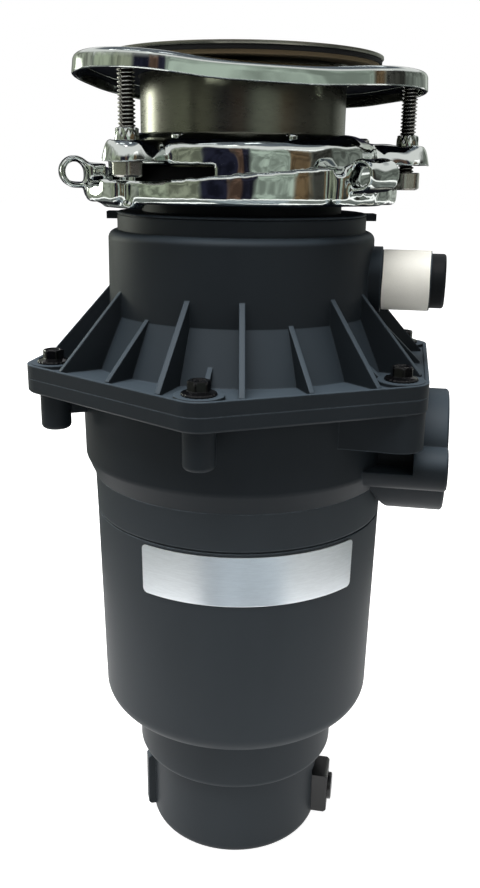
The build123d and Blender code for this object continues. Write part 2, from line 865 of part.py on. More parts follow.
def fibre_gasket():
    return ring(46.0, fibre_radius, fibre_bottom, gasket_bottom)


def snap_ring():
    body = ring(sleeve_radius - 0.4, sleeve_radius + 2.3, snap_ring_bottom, snap_ring_top)
    gap = Rot(0, 0, 70) * block((30, -6, 320), (60, 6, 330))
    return body - gap


def mounting_ring():
    half = mount_sheet / 2
    middle = FilletPolyline(
        (43.5, snap_ring_top + half),
        (47.5, snap_ring_top + half),
        (mount_wall_radius - half, snap_ring_top - 3.0),
        (mount_wall_radius - half, mount_wall_bottom),
        radius=[4.0, 3.0],
    )
    body = revolve(Plane.XZ * trace(middle, mount_sheet), Axis.Z)
    for angle in bolt_angles:
        body += mount_ear(angle)
    body -= disc(mount_wall_radius - mount_sheet, ear_bottom - 5, ear_top - 4)
    body += ring(mount_wall_radius - 0.5, mount_wall_radius + 2.4, mount_wall_bottom, mount_wall_bottom + 2)
    for k in range(3):
        angle = mount_slot_angle + 120 * k
        body -= cut_arc(50, 62, mount_wall_bottom - 1, mount_slot_top, angle, mount_slot_span)
    for angle in bolt_angles:
        body -= around(angle, bolt_circle) * disc(4.65, 300, 340)
        for turn in (9.4, 58.9):
            body += around(angle + turn, 50.6) * dimple()
    return body


def dimple():
    return Pos(0, 0, snap_ring_top - 0.5) * Sphere(1.9)


def mount_ear(angle):
    """A hollow rounded ear that holds one mount bolt's collar."""
    centre = ear_reach - ear_half_width
    start = mount_wall_radius - mount_sheet - 6

    def loaf(half_width, end, bottom, top):
        outline = Pos((start + end - half_width) / 2, 0) * Rectangle(end - half_width - start, 2 * half_width)
        outline += Pos(end - half_width, 0) * Circle(half_width)
        return Pos(0, 0, bottom) * extrude(outline, top - bottom, taper=ear_taper)

    outer = loaf(ear_half_width, ear_reach, ear_bottom, ear_top)
    outer = fillet(outer.edges().group_by(Axis.Z)[-1], 2.6)
    hollow = loaf(ear_half_width - 1.4, ear_reach - 1.4, ear_bottom, ear_top - 2)
    hollow &= ring(mount_wall_radius, centre + 20, ear_bottom, ear_top)
    return Rot(0, 0, angle) * (outer - hollow)


def lock_cup(inset, bottom, top):
    """The lock ring's plan as a solid: a disc with a lobe from each ear to the stop beyond it."""
    body = disc(lock_band_radius - inset, bottom, top)
    for angle in wrench_ear_angles:
        start, end = angle + lobe_start, angle + lobe_end
        body += cut_arc(40, lobe_reach - inset, bottom, top, (start + end) / 2, end - start)
        corner = disc(lobe_corner - inset, bottom, top)
        for turn in (start, end):
            body += around(turn, lobe_reach - lobe_corner) * corner
        near = Pos(*around(start, lobe_reach - lobe_corner).position) * Circle(lobe_corner - inset)
        edges = [*Circle(lock_band_radius - inset).edges(), *near.edges()]
        body += Pos(0, 0, bottom) * extrude(make_hull(edges), top - bottom)
    return body


def wrench_ear(angle):
    """A strip that rises from its lobe and is rolled outward, for a wrench to go in."""
    wall = lobe_reach - lock_sheet / 2
    centre = wall + wrench_ear_mean_radius
    foot = Line((wall, lock_flange_top + 0.2), (wall, wrench_ear_height))
    roll = CenterArc((centre, wrench_ear_height), wrench_ear_mean_radius, 180, -270)
    low = wrench_ear_height - wrench_ear_mean_radius
    tail = Line((centre, low), (centre - 3.0, low))
    section = Plane.XZ * trace([foot, roll, tail], lock_sheet)
    return Rot(0, 0, angle) * extrude(section, wrench_ear_length / 2, both=True)


def lock_ramp_cut(angle):
    """What is cut from the band's top between one wrench ear and the next."""
    ramp = Rot(0, 0, angle - 44) * Pos(55, 0, lock_ramp_middle) * Rot(lock_ramp_slope, 0, 0)
    over_ramp = ramp * Pos(0, 0, 10) * Box(30, 120, 20)
    sector = cut_arc(50, 70, lock_low_top, lock_high_top + 1, angle - 50, 76)
    low = cut_arc(50, 70, lock_low_top, lock_high_top + 1, angle + 21, 24)
    notch = cut_arc(50, 70, lock_ramp_middle, lock_high_top + 1, angle - 10, 3.5)
    return over_ramp & sector, low, notch


def lock_ring():
    body = lock_cup(0, lock_bottom, lock_high_top)
    body = fillet(body.edges().group_by(Axis.Z)[0], 2.2)
    body -= lock_cup(lock_sheet, lock_flange_top, lock_high_top + 1)
    for angle in wrench_ear_angles:
        for cut in lock_ramp_cut(angle):
            body -= cut
        body += wrench_ear(angle)
    body -= disc(44.0, lock_bottom - 1, lock_flange_top + 1)
    bore = lock_band_radius - lock_sheet
    for k in range(3):
        tab_angle = lock_tab_angle + 120 * k
        body += cut_arc(mount_wall_radius + 0.6, bore + 0.5, 309, lock_tab_top, tab_angle, 16)
    body += cut_arc(55, 62.4, lock_bottom - 1.9, lock_bottom + 0.2, wrench_ear_angles[0] + 22.5, 21)
    return body


def mount_cushion():
    body = turned(
        [
            (40.4, hopper_lip_top),
            (50.5, hopper_lip_top),
            (50.5, 311),
            (46, sleeve_bottom),
            (40.4, sleeve_bottom),
        ]
    )
    return body


def splash_guard():
    guard = turned(
        [
            (6, 303.5),
            (24, 305.5),
            (38, 309.2),
            (40.3, 309.2),
            (40.3, 313.2),
            (37.8, 313.2),
            (37, 310.8),
            (24, 307.1),
            (6, 305.1),
        ]
    )
    for k in range(8):
        guard -= Rot(0, 0, k * 45) * block((0, -0.7, 300), (32, 0.7, 312))
    return guard


def save(name, shape):
    """Writes one sub-part, or a group of like solids, to its own file."""
    if isinstance(shape, list):
        shape = Compound(children=shape)
    export_step(shape, f"parts/{name}.step")


def grooved_lower_housing():
    return lower_housing() - gasket_groove()


nodes = {
    "bottom_cover": bottom_cover,
    "cover_screws": cover_screws,
    "power_gland": power_gland,
    "rectifier_board": rectifier_board,
    "overload_protector": overload_protector,
    "reset_button": reset_button,
    "motor_shell": motor_shell,
    "nameplate": nameplate,
    "lower_end_bell": lower_end_bell,
    "upper_end_bell": upper_end_bell,
    "motor_can": motor_can,
    "motor_magnets": motor_magnets,
    "through_bolts": through_bolts,
    "carbon_brushes": carbon_brushes,
    "brush_holders": brush_holders,
    "motor_shaft": motor_shaft,
    "armature_core": armature_core,
    "armature_windings": armature_windings,
    "commutator": commutator,
    "lower_housing": grooved_lower_housing,
    "shaft_seal": shaft_seal,
    "grind_ring": grind_ring,
    "turntable": turntable,
    "turntable_nut": turntable_nut,
    "impeller_pins": impeller_pins,
    "flange_gasket": flange_gasket,
    "hopper": hopper,
    "inlet_label": inlet_label,
    "flange_screws": flange_screws,
    "splash_guard": splash_guard,
    "mount_cushion": mount_cushion,
    "lock_ring": lock_ring,
    "mounting_ring": mounting_ring,
    "bolt_collars": bolt_collars,
    "snap_ring": snap_ring,
    "sink_flange": sink_flange,
    "rubber_gasket": rubber_gasket,
    "fibre_gasket": fibre_gasket,
    "support_ring": support_ring,
    "mount_bolts": mount_bolts,
}

for node_name, maker in nodes.items():
    save(node_name, maker())

save("lower_bearing", bearing(lower_bearing_bottom))
save("upper_bearing", bearing(upper_bearing_bottom))
save("impeller_a", impeller(0))
save("impeller_b", impeller(180))
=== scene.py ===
"""A three-bolt garbage disposal: its finishes, its fine pieces and its photo stage."""

import json
import logging
from dataclasses import dataclass, field
from enum import Enum
from math import atan, atan2, cos, hypot, pi, radians, sin, tan
from typing import Any, Callable, Iterable, Sequence

import bmesh
import bpy
from bmesh.types import BMesh, BMVert
from bpy.types import Material, Mesh, NodeSocket, NodeTree, Object
from mathutils import Matrix, Vector, noise


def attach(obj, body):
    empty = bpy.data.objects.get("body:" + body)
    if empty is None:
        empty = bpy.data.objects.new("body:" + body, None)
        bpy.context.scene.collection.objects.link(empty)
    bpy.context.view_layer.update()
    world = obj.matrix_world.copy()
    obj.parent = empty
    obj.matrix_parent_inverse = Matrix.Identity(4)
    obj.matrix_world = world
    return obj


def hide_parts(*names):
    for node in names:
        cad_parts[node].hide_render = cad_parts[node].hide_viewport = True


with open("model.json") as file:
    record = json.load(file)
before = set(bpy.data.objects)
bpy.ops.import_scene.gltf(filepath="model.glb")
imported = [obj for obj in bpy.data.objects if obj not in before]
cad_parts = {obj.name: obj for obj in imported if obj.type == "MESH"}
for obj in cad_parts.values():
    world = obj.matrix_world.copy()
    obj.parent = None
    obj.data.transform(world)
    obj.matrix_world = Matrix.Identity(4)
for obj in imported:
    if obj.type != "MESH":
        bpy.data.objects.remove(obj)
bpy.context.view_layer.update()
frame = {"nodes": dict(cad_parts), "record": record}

MM = 0.001
TURN = 2 * pi
BOLT_ANGLES = (-117.8, 2.2, 122.2)
BOLT_CIRCLE = 68.4

# The numbers that a mesh carries at its points: how deep a point lies in a thread groove, which
# sets the painted shade there, and how near a card is to fading out.
GROOVE_SHADE, FADE = "groove", "fade"

# The Mix node's sockets for colours, whose names its sockets for numbers have too.
FIRST_COLOUR, SECOND_COLOUR, MIXED_COLOUR = 6, 7, 2

# The rays that feel for an edge or a crevice at one point.
FEELERS = 6

# Without a seed, the sheets' waves would come out differently in each run.
RIPPLE_SEED = 1795579199

log = logging.getLogger("disposal")

Point = tuple[float, float, float]
Curve = Callable[[float], float]


class Value:
    """A shader socket on which Python operators build Math nodes."""

    def __init__(self, graph: "Graph", socket: NodeSocket) -> None:
        """Wraps one output socket of that graph."""
        self.graph = graph
        self.socket = socket

    def also(self, output: int | str) -> "Value":
        """Another output of the same node."""
        return Value(self.graph, self.socket.node.outputs[output])

    def math(self, operation: str, *terms: "Value | float") -> "Value":
        """A Math node of that operation on the terms."""
        return self.graph.add("ShaderNodeMath", {"operation": operation}, dict(enumerate(terms)))

    def __add__(self, other: "Value | float") -> "Value":
        """The sum."""
        return self.math("ADD", self, other)

    def __radd__(self, other: float) -> "Value":
        """The sum, from a number."""
        return self.math("ADD", other, self)

    def __sub__(self, other: "Value | float") -> "Value":
        """The difference."""
        return self.math("SUBTRACT", self, other)

    def __rsub__(self, other: float) -> "Value":
        """A number less this value."""
        return self.math("SUBTRACT", other, self)

    def __mul__(self, other: "Value | float") -> "Value":
        """The product."""
        return self.math("MULTIPLY", self, other)

    def __rmul__(self, other: float) -> "Value":
        """The product, from a number."""
        return self.math("MULTIPLY", other, self)

    def between(self, low: float, high: float) -> "Value":
        """A smooth step that is 0 at low and 1 at high."""
        settings = {"interpolation_type": "SMOOTHSTEP"}
        return self.graph.add("ShaderNodeMapRange", settings, {0: self, 1: low, 2: high})


class Graph:
    """A material's or a world's node tree."""

    def __init__(self, tree: NodeTree) -> None:
        """Starts from an empty tree."""
        self.tree = tree
        tree.nodes.clear()

    def add(
        self,
        kind: str,
        settings: dict[str, Any] | None = None,
        inputs: dict[int | str, Any] | None = None,
        output: int | str = 0,
    ) -> Value:
        """Adds one node.

        Args:
            kind: The node's type.
            settings: Its own settings.
            inputs: The values or links of its sockets.
            output: The output that is wanted.

        Returns:
            That output, or the first input of a node that ends the tree.
        """
        node = self.tree.nodes.new(kind)
        for name, setting in (settings or {}).items():
            setattr(node, name, setting)
        for key, value in (inputs or {}).items():
            if isinstance(value, Value):
                self.tree.links.new(value.socket, node.inputs[key])
            else:
                node.inputs[key].default_value = value
        return Value(self, node.outputs[output] if node.outputs else node.inputs[0])

    def mix(self, factor: Value | float, first: Any, second: Any) -> Value:
        """The first colour where the factor is 0, and the second where it is 1."""
        inputs = {0: factor, FIRST_COLOUR: first, SECOND_COLOUR: second}
        return self.add("ShaderNodeMix", {"data_type": "RGBA"}, inputs, MIXED_COLOUR)

    def parts(self, vector: Value) -> tuple[Value, Value, Value]:
        """The three numbers of a vector."""
        x = self.add("ShaderNodeSeparateXYZ", None, {0: vector})
        return x, x.also(1), x.also(2)

    def place(self) -> Value:
        """The point on the object, in metres in the shared frame."""
        return self.add("ShaderNodeTexCoord", output="Object")

    def stretched(self, scale: Point) -> Value:
        """The point on the object, scaled along each axis."""
        inputs = {0: self.place(), 1: scale}
        return self.add("ShaderNodeVectorMath", {"operation": "MULTIPLY"}, inputs)

    def noise(
        self, scale: float, detail: float = 2.0, roughness: float = 0.5, at: Value | None = None
    ) -> Value:
        """Soft noise from 0 to 1, with that many lumps per metre."""
        inputs = {0: at or self.place(), "Scale": scale, "Detail": detail, "Roughness": roughness}
        return self.add("ShaderNodeTexNoise", None, inputs)

    def turned_place(self, around: float, up: float, out: float) -> Value:
        """The point by its angle, height and radius about the upright axis, each scaled.

        Args:
            around: Scale of the angle.
            up: Scale of the height.
            out: Scale of the radius.

        Returns:
            The point, for a texture that follows the turned shape.
        """
        x, y, z = self.parts(self.place())
        radius = x.math("SQRT", x * x + y * y)
        angle = x.math("ARCTAN2", y, x)
        inputs = {0: angle * around, 1: z * up, 2: radius * out}
        return self.add("ShaderNodeCombineXYZ", None, inputs)

    def edge(self, radius: float) -> tuple[Value, Value]:
        """A rounded normal, and where it departs from the flat one.

        Args:
            radius: The rounding in metres.

        Returns:
            The rounded normal, and a mask that is 1 on sharp edges.
        """
        rounded = self.add("ShaderNodeBevel", {"samples": FEELERS}, {"Radius": radius})
        flat = self.add("ShaderNodeNewGeometry", output="Normal")
        inputs = {0: rounded, 1: flat}
        same = self.add("ShaderNodeVectorMath", {"operation": "DOT_PRODUCT"}, inputs, "Value")
        return rounded, (1 - same).between(0.02, 0.3)

    def drawn(self, name: str) -> Value:
        """A number that the mesh carries at its points."""
        return self.add("ShaderNodeAttribute", {"attribute_name": name}, output="Fac")

    def openness(self, distance: float) -> Value:
        """1 where nothing is near, and 0 deep in a crevice, looking that far in metres."""
        settings = {"samples": FEELERS}
        return self.add("ShaderNodeAmbientOcclusion", settings, {"Distance": distance}, "AO")

    def upward(self) -> Value:
        """1 on faces that look straight up, and -1 on faces that look at the floor."""
        return self.parts(self.add("ShaderNodeNewGeometry", output="Normal"))[2]

    def bump(
        self, height: Value, strength: float, distance: float, normal: Value | None = None
    ) -> Value:
        """A Bump node.

        Args:
            height: The height, from 0 to 1.
            strength: How strong the bump is.
            distance: The height of 1, in metres.
            normal: The normal that the bump is laid on, where it isn't the mesh's own.

        Returns:
            The bumped normal.
        """
        inputs: dict[Any, Any] = {"Height": height, "Strength": strength, "Distance": distance}
        if normal is not None:
            inputs["Normal"] = normal
        return self.add("ShaderNodeBump", None, inputs)

    def shader(self, **sockets: Any) -> Value:
        """A Principled BSDF with those sockets, in whose names _ stands for a space."""
        inputs = {name.replace("_", " "): value for name, value in sockets.items()}
        return self.add("ShaderNodeBsdfPrincipled", None, inputs)

    def end(self, shader: Value) -> None:
        """Ends the tree in a shader."""
        self.add("ShaderNodeOutputMaterial", None, {"Surface": shader})

    def surface(self, **sockets: Any) -> None:
        """Ends the tree in one Principled BSDF with those sockets."""
        self.end(self.shader(**sockets))


def new_material(name: str) -> tuple[Material, Graph]:
    """A material, and its empty node tree.

    Args:
        name: The material's name.

    Returns:
        The material and its tree's wrapper.
    """
    made = bpy.data.materials.new(name)
    made.use_nodes = True
    return made, Graph(made.node_tree)


def mesh_from(name: str, draft: BMesh) -> Mesh:
    """A mesh that takes over what a draft holds.

    Args:
        name: The mesh's name.
        draft: The draft, which is freed.

    Returns:
        The mesh.
    """
    made = bpy.data.meshes.new(name)
    draft.to_mesh(made)
    draft.free()
    return made


def stand(name: str, data: Any) -> Object:
    """An object that shows that mesh, lamp or camera.

    Args:
        name: The object's name.
        data: Its mesh, lamp or camera.

    Returns:
        The object.
    """
    made = bpy.data.objects.new(name, data)
    bpy.context.scene.collection.objects.link(made)
    return made


@dataclass(frozen=True)
class Tone:
    """A colour as a colour card gives it, from 0 to 255."""

    red: float
    green: float
    blue: float

    def linear(self, gain: float = 1.0) -> tuple[float, float, float, float]:
        """The colour as a shader takes it.

        Args:
            gain: A factor on the light that it throws back.

        Returns:
            Red, green, blue and alpha.
        """
        shares = [channel / 255 for channel in (self.red, self.green, self.blue)]
        light = [s / 12.92 if s <= 0.04045 else ((s + 0.055) / 1.055) ** 2.4 for s in shares]
        return (*[min(1.0, part * gain) for part in light], 1.0)


@dataclass(frozen=True)
class Finish:
    """A surface finish, with the record's slot that it stands for."""

    slot: str
    tone: Tone
    roughness: float

    def material(self) -> Material:
        """Makes the finish's material, or finds it where it is made.

        Returns:
            The material.
        """
        name = f"{self.slot}_finish"
        found = bpy.data.materials.get(name)
        if found:
            return found
        made, graph = new_material(name)
        made.diffuse_color = self.tone.linear()
        self.draw(graph)
        return made

    def draw(self, graph: Graph) -> None:
        """Draws the finish in its material's empty node tree."""
        raise NotImplementedError


@dataclass(frozen=True)
class Moulded(Finish):
    """Moulded plastic or rubber with a spark-eroded grain, paler edges and paler tops.

    Its rub and highlight gain and its dust and top light gain are how many times paler than the
    body the edges and the upward faces are: the edges for rubbing wear and a painted highlight, the
    upward faces for settled dust and painted light from above.
    Its dark end is where x and z pass two places, in millimetres, and how dark the body is there.
    """

    grain: float = 1900.0
    depth: float = 0.16
    edge_radius: float = 0.9
    rub_and_highlight: float = 6.5
    dust_and_top_light: float = 4.2
    specular: float = 0.12
    crevice: float = 1.8
    dark_end: Point | None = None

    def draw(self, graph: Graph) -> None:
        """Draws fine grain, faint flow marks, tops paled for dust and as painted light from above,
        edges paled for wear and as a painted highlight, and painted shade in crevices.

        Args:
            graph: The material's empty node tree.
        """
        rounded, edges = graph.edge(self.edge_radius * MM)
        flow = graph.noise(14, 3, 0.6, graph.stretched((1.0, 1.0, 0.35)))
        speckle = graph.noise(self.grain, 3, 0.65)
        scuffs = graph.noise(260, 5, 0.75, graph.stretched((1.0, 1.0, 0.18))).between(0.62, 0.8)
        patches = graph.noise(320, 3, 0.6).between(0.35, 0.65)
        clear = graph.openness(self.crevice * MM)
        # Painted light from above, with settled dust: the upward faces are paled.
        settled_dust_and_top_light = graph.upward().between(0.12, 0.75) * (0.75 + 0.25 * flow)
        # Painted highlight, with rubbing wear: the sharp open edges are paled.
        wear_and_highlight = edges * clear.between(0.55, 0.8) * (0.5 + 0.5 * patches)
        body = graph.mix(flow.between(0.3, 0.7), self.tone.linear(0.86), self.tone.linear(1.12))
        body = graph.mix(speckle * 0.25, body, self.tone.linear(1.5))
        body = graph.mix(settled_dust_and_top_light, body, self.tone.linear(self.dust_and_top_light))
        body = graph.mix(wear_and_highlight * 0.8, body, self.tone.linear(self.rub_and_highlight))
        # Painted shade: the body darkens where the occlusion test finds it closed in, in crevices,
        # seams and at rib roots.
        body = graph.mix(clear.between(0.15, 0.6), self.tone.linear(0.25), body)
        if self.dark_end:
            start, low, gain = self.dark_end
            x, _, z = graph.parts(graph.place())
            end = x.between(start * MM, (start + 0.3) * MM) * z.between(low * MM, (low + 1) * MM)
            body = graph.mix(end, body, self.tone.linear(gain))
        rough = self.roughness + 0.1 * (flow - 0.5) + 0.08 * (speckle - 0.5) - 0.06 * scuffs
        normal = graph.bump(speckle, self.depth, 0.12 * MM, rounded)
        graph.surface(
            Base_Color=body, Roughness=rough, Normal=normal, Specular_IOR_Level=self.specular
        )


@dataclass(frozen=True)
class Plated(Finish):
    """Polished chrome plate on pressed sheet, a little wavy, with fine wiping marks."""

    wave: float = 0.12
    haze: float = 0.04
    underside_shade: Tone = Tone(10, 13, 22)

    def draw(self, graph: Graph) -> None:
        """Draws slow sheet waves, wiping marks, a faint haze, edges paled as a painted highlight,
        and a dull underside with painted shade.

        Args:
            graph: The material's empty node tree.
        """
        waves = graph.noise(30, 2, 0.4)
        wiped = graph.noise(900, 4, 0.7, graph.stretched((1.0, 1.0, 0.12)))
        dull = graph.noise(70, 5, 0.7).between(0.48, 0.72)
        rounded, edges = graph.edge(0.4 * MM)
        plate = graph.mix(dull * 0.5, self.tone.linear(), self.tone.linear(0.8))
        # Painted highlight: the sharp edges are paled.
        plate = graph.mix(edges * 0.5, plate, self.tone.linear(1.2))
        rough = self.roughness + self.haze * dull + 0.02 * wiped
        normal = graph.bump(waves, self.wave, 2.0 * MM, rounded)
        bright = graph.shader(Base_Color=plate, Roughness=rough, Metallic=1.0, Normal=normal)
        # Painted shade on the downward faces, with a dull finish: they turn near-black navy and
        # rough, in place of the dark reflection under the sheet.
        dull_shaded_underside = graph.shader(Base_Color=self.underside_shade.linear(), Roughness=0.9, Specular_IOR_Level=0.05)
        beneath = (0 - graph.upward()).between(0.6, 0.9)
        graph.end(graph.add("ShaderNodeMixShader", None, {0: beneath, 1: bright, 2: dull_shaded_underside}))


@dataclass(frozen=True)
class Brushed(Finish):
    """Brushed metal, whose lines run round the upright axis."""

    density: float = 90.0
    contrast: float = 0.3
    relief: float = 1.0
    run: float = 1.2
    spread: float = 10.0

    def draw(self, graph: Graph) -> None:
        """Draws the brushing as streaks in tone, roughness and height, and pales the edges as a
        painted highlight.

        Args:
            graph: The material's empty node tree.
        """
        place = graph.turned_place(self.run, self.density, self.spread)
        streaks = graph.noise(10, 6, 0.75, place)
        broad = graph.noise(1.6, 2, 0.5, place)
        rounded, edges = graph.edge(0.3 * MM)
        dark, light = self.tone.linear(1 - self.contrast), self.tone.linear(1 + self.contrast)
        metal = graph.mix(streaks.between(0.25, 0.75), dark, light)
        # Painted highlight: the sharp edges are paled.
        metal = graph.mix(edges * 0.5, metal, self.tone.linear(1.4))
        rough = self.roughness + self.relief * (0.14 * (streaks - 0.5) + 0.1 * (broad - 0.5))
        normal = graph.bump(streaks, 0.06 * self.relief, 0.06 * MM, rounded)
        graph.surface(Base_Color=metal, Roughness=rough, Metallic=1.0, Normal=normal)


@dataclass(frozen=True)
class Metal(Finish):
    """Plain cast, pressed, turned or plated metal with stains and a fine grain."""

    grain: float = 1500.0
    depth: float = 0.15
    stain: float = 0.3
    metallic: float = 1.0
    rub_and_highlight: float = 1.6
    specular: float = 0.5

    def draw(self, graph: Graph) -> None:
        """Draws cloudy stains, grain, edges paled as a painted highlight, and painted shade in
        thread grooves.

        Args:
            graph: The material's empty node tree.
        """
        clouds = graph.noise(60, 5, 0.65)
        fine = graph.noise(self.grain, 3, 0.6)
        rounded, edges = graph.edge(0.25 * MM)
        clean, stained = self.tone.linear(), self.tone.linear(1 - self.stain)
        metal = graph.mix(clouds.between(0.35, 0.7), clean, stained)
        # Painted highlight: the sharp edges are paled.
        metal = graph.mix(edges * 0.7, metal, self.tone.linear(self.rub_and_highlight))
        # Painted shade: thread grooves, as the mesh marks them, are darkened nearly to black.
        metal = graph.mix(graph.drawn(GROOVE_SHADE), metal, self.tone.linear(0.04))
        rough = self.roughness + 0.2 * (clouds - 0.5) + 0.06 * fine
        normal = graph.bump(fine, self.depth, 0.05 * MM, rounded)
        graph.surface(
            Base_Color=metal,
            Roughness=rough,
            Metallic=self.metallic,
            Normal=normal,
            Specular_IOR_Level=self.specular,
        )


@dataclass(frozen=True)
class Fibrous(Finish):
    """Paper or pressed fibre, with short fibres in its face."""

    fibre: float = 1400.0
    depth: float = 0.25

    def draw(self, graph: Graph) -> None:
        """Draws fibres, cloudiness and a soft sheenless face.

        Args:
            graph: The material's empty node tree.
        """
        fibres = graph.noise(self.fibre, 5, 0.8, graph.stretched((1.0, 0.35, 1.0)))
        clouds = graph.noise(45, 3, 0.6)
        sheet = graph.mix(clouds.between(0.3, 0.75), self.tone.linear(), self.tone.linear(0.88))
        sheet = graph.mix(fibres.between(0.5, 0.85) * 0.5, sheet, self.tone.linear(0.7))
        rough = self.roughness + 0.1 * (fibres - 0.5)
        normal = graph.bump(fibres, self.depth, 0.05 * MM)
        graph.surface(Base_Color=sheet, Roughness=rough, Normal=normal)


@dataclass(frozen=True)
class Wound(Finish):
    """Lacquered wire laid in turns."""

    wire: float = 1.1

    def draw(self, graph: Graph) -> None:
        """Draws the wire's turns as ridges across the coil, with painted shade between the turns.

        Args:
            graph: The material's empty node tree.
        """
        settings = {"wave_type": "BANDS", "bands_direction": "DIAGONAL", "wave_profile": "SIN"}
        inputs = {"Vector": graph.place(), "Scale": 700 / self.wire, "Distortion": 1.5}
        turns = graph.add("ShaderNodeTexWave", settings, inputs, "Fac")
        # Painted shade: the valleys between the turns are darkened.
        wire = graph.mix(turns, self.tone.linear(0.35), self.tone.linear(1.15))
        normal = graph.bump(turns, 0.5, 0.4 * MM)
        graph.surface(
            Base_Color=wire, Roughness=self.roughness + 0.15 * turns, Metallic=0.7, Normal=normal
        )


class Finishes:
    """Every finish of the object, by the record's slot."""

    # Painted shade, in part: the housing's tone is set darker than the shell's, as the hopper and
    # lower housing lie where the flange keeps light off them.
    housing = Moulded("housing_plastic", Tone(25, 30, 34), 0.52, dark_end=(81.4, 255.0, 0.35))
    shell = Moulded("shell_plastic", Tone(43, 48, 52), 0.52, depth=0.12)
    black = Moulded(
        "black_plastic", Tone(12, 13, 15), 0.3, 2600, depth=0.08, rub_and_highlight=3, dust_and_top_light=1.5, specular=0.4
    )
    rubber = Moulded("rubber", Tone(18, 18, 19), 0.68, grain=1200, depth=0.2, rub_and_highlight=2.2)
    chrome = Plated("chrome", Tone(198, 203, 199), 0.035)
    stainless = Brushed("stainless", Tone(112, 111, 102), 0.29, contrast=0.1)
    nameplate = Brushed(
        "nameplate_steel", Tone(228, 232, 236), 0.3, density=150, contrast=0.06, relief=0.15
    )
    zinc = Metal("zinc_steel", Tone(176, 174, 168), 0.22)
    blackened = Metal("black_steel", Tone(7, 7, 8), 0.14, metallic=0.0, rub_and_highlight=22, specular=0.22)
    fibre = Fibrous("fibre", Tone(84, 70, 46), 0.85, fibre=700)
    label = Fibrous("label_paper", Tone(236, 234, 224), 0.5, depth=0.08)
    aluminium = Metal("aluminium", Tone(190, 191, 193), 0.45)
    motor = Metal("motor_steel", Tone(150, 152, 156), 0.4)
    lamination = Brushed("lamination_steel", Tone(120, 122, 128), 0.42, density=600)
    magnet = Metal("magnet", Tone(58, 58, 60), 0.6, metallic=0.4)
    copper = Wound("copper", Tone(184, 98, 48), 0.32)
    commutator = Brushed("commutator_copper", Tone(196, 118, 72), 0.3)
    brass = Metal("brass", Tone(198, 162, 90), 0.34)
    carbon = Metal("carbon", Tone(40, 40, 42), 0.7, metallic=0.2)
    board = Fibrous("board", Tone(44, 92, 60), 0.5, fibre=500, depth=0.1)
    bearing = Metal("bearing_steel", Tone(196, 198, 202), 0.2)

    @classmethod
    def by_slot(cls) -> dict[str, Finish]:
        """Every finish under its slot's name."""
        return {f.slot: f for f in vars(cls).values() if isinstance(f, Finish)}


def dress(name: str, data: Mesh, finish: Finish, body: str) -> Object:
    """Makes a mesh one piece of the object.

    Args:
        name: The piece's name.
        data: Its mesh.
        finish: Its finish.
        body: The body that it rides on.

    Returns:
        The piece.
    """
    piece = stand(name, data)
    data.materials.append(finish.material())
    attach(piece, body)
    log.info("%s: %d faces on %s", name, len(data.polygons), body)
    return piece


class Draft:
    """A mesh that is drawn in millimetres and becomes one piece."""

    merge = 0.002 * MM

    def __init__(self) -> None:
        """Starts with nothing drawn."""
        self.mesh = bmesh.new()
        # How deep each point lies in a thread groove, for the painted shade there; it stays 0 off
        # the threads.
        self.groove = self.mesh.verts.layers.float.new(GROOVE_SHADE)

    def loop(self, points: Iterable[Point]) -> list[BMVert]:
        """Adds a row of points."""
        return [self.mesh.verts.new(Vector(p) * MM) for p in points]

    def bridge(self, first: Sequence, second: Sequence) -> None:
        """Joins two closed rows of as many points with quads.

        Args:
            first: The first row.
            second: The next row.
        """
        for k in range(len(first)):
            after = (k + 1) % len(first)
            self.mesh.faces.new((first[k], first[after], second[after], second[k]))

    def rows(self, rows: Iterable[Iterable[Point]]) -> list[list]:
        """Adds closed rows of points, each joined to the last.

        Args:
            rows: The rows, each with as many points.

        Returns:
            The first and last row.
        """
        loops = [self.loop(row) for row in rows]
        for first, second in zip(loops, loops[1:]):
            self.bridge(first, second)
        return [loops[0], loops[-1]]

    def turned(self, outline: Iterable[tuple[Any, float]], sides: int) -> list[list]:
        """Draws a shape that goes round the upright axis.

        Args:
            outline: Each row's height after its radius, or its radius at an angle.
            sides: How many points go round.

        Returns:
            The first and last row.
        """
        angles = [TURN * k / sides for k in range(sides)]
        rows = []
        for radius, height in outline:
            radii = [radius(a) if callable(radius) else radius for a in angles]
            rows.append([(r * cos(a), r * sin(a), height) for r, a in zip(radii, angles)])
        return self.rows(rows)

    def cap(self, loop: Sequence) -> None:
        """Closes a row with one face."""
        self.mesh.faces.new(loop)

    def piece(
        self, name: str, finish: Finish, body: str, at: Matrix | None = None, sharp: float = 35.0
    ) -> Object:
        """Ends the mesh as a piece of the object.

        Args:
            name: The piece's name.
            finish: Its finish.
            body: The body that it rides on.
            at: Where it goes, in millimetres.
            sharp: The angle in degrees above which an edge stays sharp.

        Returns:
            The piece.
        """
        bmesh.ops.remove_doubles(self.mesh, verts=self.mesh.verts, dist=self.merge)
        bmesh.ops.dissolve_degenerate(self.mesh, edges=self.mesh.edges, dist=self.merge)
        bmesh.ops.recalc_face_normals(self.mesh, faces=self.mesh.faces)
        if at is not None:
            placed = at.copy()
            placed.translation *= MM
            bmesh.ops.transform(self.mesh, matrix=placed, verts=self.mesh.verts)
        data = mesh_from(name, self.mesh)
        data.shade_smooth()
        data.set_sharp_from_angle(angle=radians(sharp))
        return dress(name, data, finish, body)


